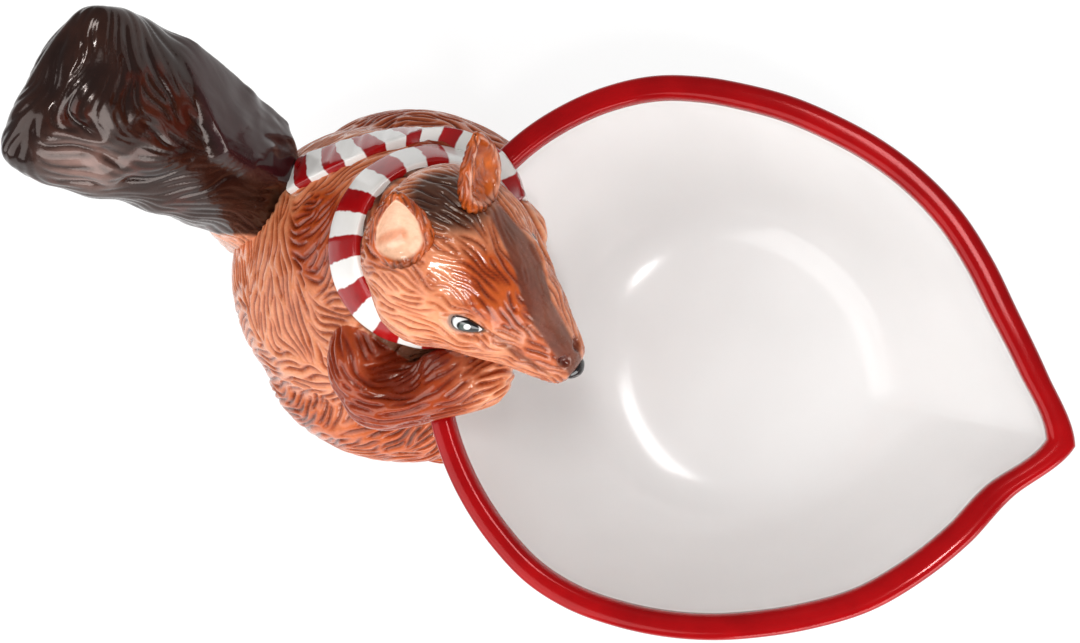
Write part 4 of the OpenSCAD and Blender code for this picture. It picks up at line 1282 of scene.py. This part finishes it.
def make_nose():
    """A ball with a dent down its front and a nostril on each side."""
    m, n = 40, 56
    t = np.linspace(0.02, 0.98, m)[:, None] * math.pi
    w = np.arange(n) * 2 * math.pi / n
    ball = np.stack([-np.cos(t) * np.ones(n), np.sin(t) * np.cos(w), np.sin(t) * np.sin(w)], 2).reshape(-1, 3)
    points = ball * (np.array([0.95, 1.02, 0.9]) * NOSE_D / 2)
    dent = np.exp(-((points[:, 1] / 0.55) ** 2)) * smoothstep(0, 2.2, points[:, 0])
    dent = dent * smoothstep(1.2, -1.5, points[:, 2])
    points[:, 0] -= 0.6 * dent
    for side in (1, -1):
        points[:, 0] -= 0.7 * near(points, (2.6, 1.9 * side, 0.4), 1.5, 0.8)
    points, faces = closed_loft(points.reshape(m, n, 3))
    points = points + NOSE_AT + [0.35, 0, -0.3]
    glaze = np.tile(NOSE_BLACK, (len(points), 1))
    add_piece("nose_pad", from_head(points), faces, DETAIL_GLAZE, "fur_glaze", glaze=glaze)


make_nose()


# The scarf's path on the trunk: share of the way up, degrees round from the chest, lift off the trunk
RING_PATH = [[SCARF_SHARE, 0, 0], [SCARF_SHARE, 360, 0]]
END_PATH = [[0.69, 38, 0.8], [0.67, 48, 1.1], [0.64, 58, 1.4], [0.59, 70, 1.5], [0.55, 82, 1.2],
            [0.53, 95, 0.6], [0.53, 109, 0.2], [0.525, 124, 0], [0.5, 138, 0], [0.45, 150, 0]]
BAND_TOP, BAND_SUNK, BAND_CROWN, BAND_BURIED = 1.9, 1.4, 0.35, 9.0
RING_STRIPES, END_STRIPE_W, RING_SLANT, END_SLANT = 24, 6.2, 0.1, 0.45


def band_rings(path, shares, n):
    """A flat band on the trunk along path: its rings, how far across the band they lie, and its middle."""
    here = spline(path, shares)
    ahead, behind = (spline(path, np.clip(shares + step, 0, 1)) for step in (0.01, -0.01))
    p = body_point(here[:, 0], here[:, 1])
    run = unit(body_point(ahead[:, 0], ahead[:, 1]) - body_point(behind[:, 0], behind[:, 1]))
    rise = body_point(here[:, 0] + 0.01, here[:, 1]) - p
    turn = body_point(here[:, 0], here[:, 1] + 1) - p
    out = unit(np.cross(turn, rise))
    up = unit(np.cross(out, run))
    w = np.arange(n) * 2 * math.pi / n
    c, s = np.cos(w), np.sin(w)
    # the lower edge is drawn in where the head lies on the ring
    round_by = here[:, 1:2]
    drawn_in = 0.6 * smoothstep(215, 290, round_by) + 0.3 * smoothstep(290, 306, round_by)
    drawn_in = drawn_in + 0.9 * smoothstep(30, 5, round_by)
    flat_c = np.sign(c) * np.abs(c) ** 0.3 * np.where(c < 0, 1 - drawn_in, 1)
    flat_s = np.sign(s) * np.abs(s) ** 0.3
    # the band is a little crowned, swells and sinks along its run, and dips under the fur below the chin
    swell = 0.14 * np.sin(shares * 61)[:, None] + 0.1 * np.sin(shares * 131 + 2)[:, None]
    crown = (1 - flat_c**2) * BAND_CROWN + swell
    buried = BAND_BURIED * (smoothstep(308, 318, round_by) + smoothstep(24, 12, round_by))
    top = BAND_TOP * flat_s + crown * (flat_s > 0.9) + SCARF_T * here[:, 2:3] * 0.9
    height = np.where(s < 0, BAND_SUNK * flat_s, top) - buried
    across = flat_c * SCARF_W / 2
    return p[:, None] + out[:, None] * height[..., None] + up[:, None] * across[..., None], across, p


def stripe_count(middle, across, width, slant):
    """Stripes counted along a band's run, slanted across it."""
    run = np.concatenate([[0], np.cumsum(np.linalg.norm(np.diff(middle, axis=0), axis=1))])
    return (run[:, None] + slant * across) / width


def make_scarf():
    m, n = 420, 56
    rings, across, middle = band_rings(RING_PATH, np.arange(m) / m, n)
    loop = np.linalg.norm(np.diff(np.vstack([middle, middle[:1]]), axis=0), axis=1).sum()
    stripes = np.abs(stripe_count(middle, across, loop / RING_STRIPES, RING_SLANT)).ravel()
    points, faces = rings.reshape(-1, 3), [grid_faces(m, n, True)]
    add_piece("scarf_round", points, faces, SCARF_GLAZE, "scarf_glaze", ["scarf_ring"], stripe=stripes)
    rings, across, middle = band_rings(END_PATH, np.linspace(0, 1, 300), n)
    points, faces = closed_loft(rings)
    stripes = stripe_count(middle, across, END_STRIPE_W, END_SLANT).ravel()
    stripes = np.concatenate([stripes, [stripes[0], stripes[-1]]])
    add_piece("scarf_tail", points, faces, SCARF_GLAZE, "scarf_glaze", ["scarf_end"], stripe=stripes)


make_scarf()


# Camera, floor and light, in metres. Pixels are the photograph's.
CAMERA_AT, HEADING = np.array([0.09651, -0.00535, 0.430]), 14.0
PHOTO_W, PHOTO_H, FOCAL_PX, NADIR_PX = 1080, 643, 1252.0, (881.35, 423.06)
SENSOR_MM = 36.0


def make_camera():
    """The camera that the photograph was taken with; the pixel straight below it gives its tilt."""
    down = np.array([(NADIR_PX[0] - PHOTO_W / 2) / FOCAL_PX, (NADIR_PX[1] - PHOTO_H / 2) / FOCAL_PX, 1.0])
    down /= np.linalg.norm(down)
    a = math.radians(HEADING)
    ex = np.array([math.cos(a), math.sin(a), 0.0])
    ex -= down * (ex @ down)
    ex /= np.linalg.norm(ex)
    ez = -down
    ey = np.cross(ez, ex)
    # rows: the world's axes as the camera has them, with x to the right, y down and z forward
    world = np.array([ex, ey, ez])
    matrix = Matrix.Identity(4)
    for row in range(3):
        for column, sign in ((0, 1), (1, -1), (2, -1)):
            matrix[row][column] = sign * world[row][column]
        matrix[row][3] = CAMERA_AT[row]
    data = bpy.data.cameras.new("camera")
    data.sensor_fit = "HORIZONTAL"
    data.sensor_width = SENSOR_MM
    data.lens = FOCAL_PX / PHOTO_W * SENSOR_MM
    data.clip_start = 0.01
    camera = new_object("camera", data)
    camera.matrix_world = matrix
    bpy.context.scene.camera = camera


FLOOR_HALF, FLOOR_BELOW = 3.0, 0.0003
FLOOR_GREY, SHOWN_GREY, SHOWN_GLOW = 0.8, 0.3, 0.8


def make_floor():
    """A white floor that shows as white where it is bare and keeps the object's shadow."""
    mesh = bpy.data.meshes.new("floor")
    corners = [(x * FLOOR_HALF, y * FLOOR_HALF, 0) for x, y in ((-1, -1), (1, -1), (1, 1), (-1, 1))]
    mesh.from_pydata(corners, [], [(0, 1, 2, 3)])
    floor = new_object("floor", mesh)
    floor.location = (0, 0, -FLOOR_BELOW)
    material = bpy.data.materials.new("floor")
    material.use_nodes = True
    tree = material.node_tree
    tree.nodes.clear()
    output = tree.nodes.new("ShaderNodeOutputMaterial")
    lit = new_node(tree, "ShaderNodeBsdfDiffuse", Color=(FLOOR_GREY, FLOOR_GREY, FLOOR_GREY, 1))
    dim = new_node(tree, "ShaderNodeBsdfDiffuse", Color=(SHOWN_GREY, SHOWN_GREY, SHOWN_GREY, 1))
    glow = new_node(tree, "ShaderNodeEmission", Color=(1, 1, 1, 1), Strength=SHOWN_GLOW)
    shown = new_node(tree, "ShaderNodeAddShader", [dim, glow])
    ray = tree.nodes.new("ShaderNodeLightPath").outputs
    seen = math_node(tree, "MAXIMUM", ray["Is Camera Ray"], ray["Is Glossy Ray"])
    seen = math_node(tree, "MAXIMUM", seen, ray["Is Transmission Ray"])
    tree.links.new(new_node(tree, "ShaderNodeMixShader", [seen, lit, shown]), output.inputs["Surface"])
    mesh.materials.append(material)


def area_light(name, place, target, width, height, watts, spin=0):
    """A soft box of light that faces the target; spin turns it about its own axis."""
    data = bpy.data.lights.new(name, "AREA")
    data.shape = "RECTANGLE"
    data.size, data.size_y = width, height
    data.energy = watts
    light = new_object(name, data)
    light.location = place
    aim = (Vector(target) - Vector(place)).to_track_quat("-Z", "Y").to_matrix()
    light.rotation_euler = (aim @ Matrix.Rotation(math.radians(spin), 3, "Z")).to_euler()


def make_world(strength):
    world = bpy.data.worlds.new("studio")
    bpy.context.scene.world = world
    world.use_nodes = True
    world.node_tree.nodes["Background"].inputs["Color"].default_value = (1, 1, 1, 1)
    world.node_tree.nodes["Background"].inputs["Strength"].default_value = strength


make_camera()
make_floor()
make_world(0.25)
area_light("key", (-0.6, -0.75, 0.85), (0, 0, 0.03), 1.2, 1.2, 9.9)
area_light("strip", (0.11, 0.27, 0.96), (0.02, -0.03, 0.008), 0.18, 0.34, 2.1, spin=45)
area_light("glare", (0.41, -0.29, 0.95), (-0.02, 0, 0.12), 0.08, 0.1, 1.7)
area_light("low", (0.7, -0.85, 0.25), (-0.05, 0, 0.08), 1.0, 0.45, 7.5)
bpy.context.scene.view_settings.view_transform = "Standard"
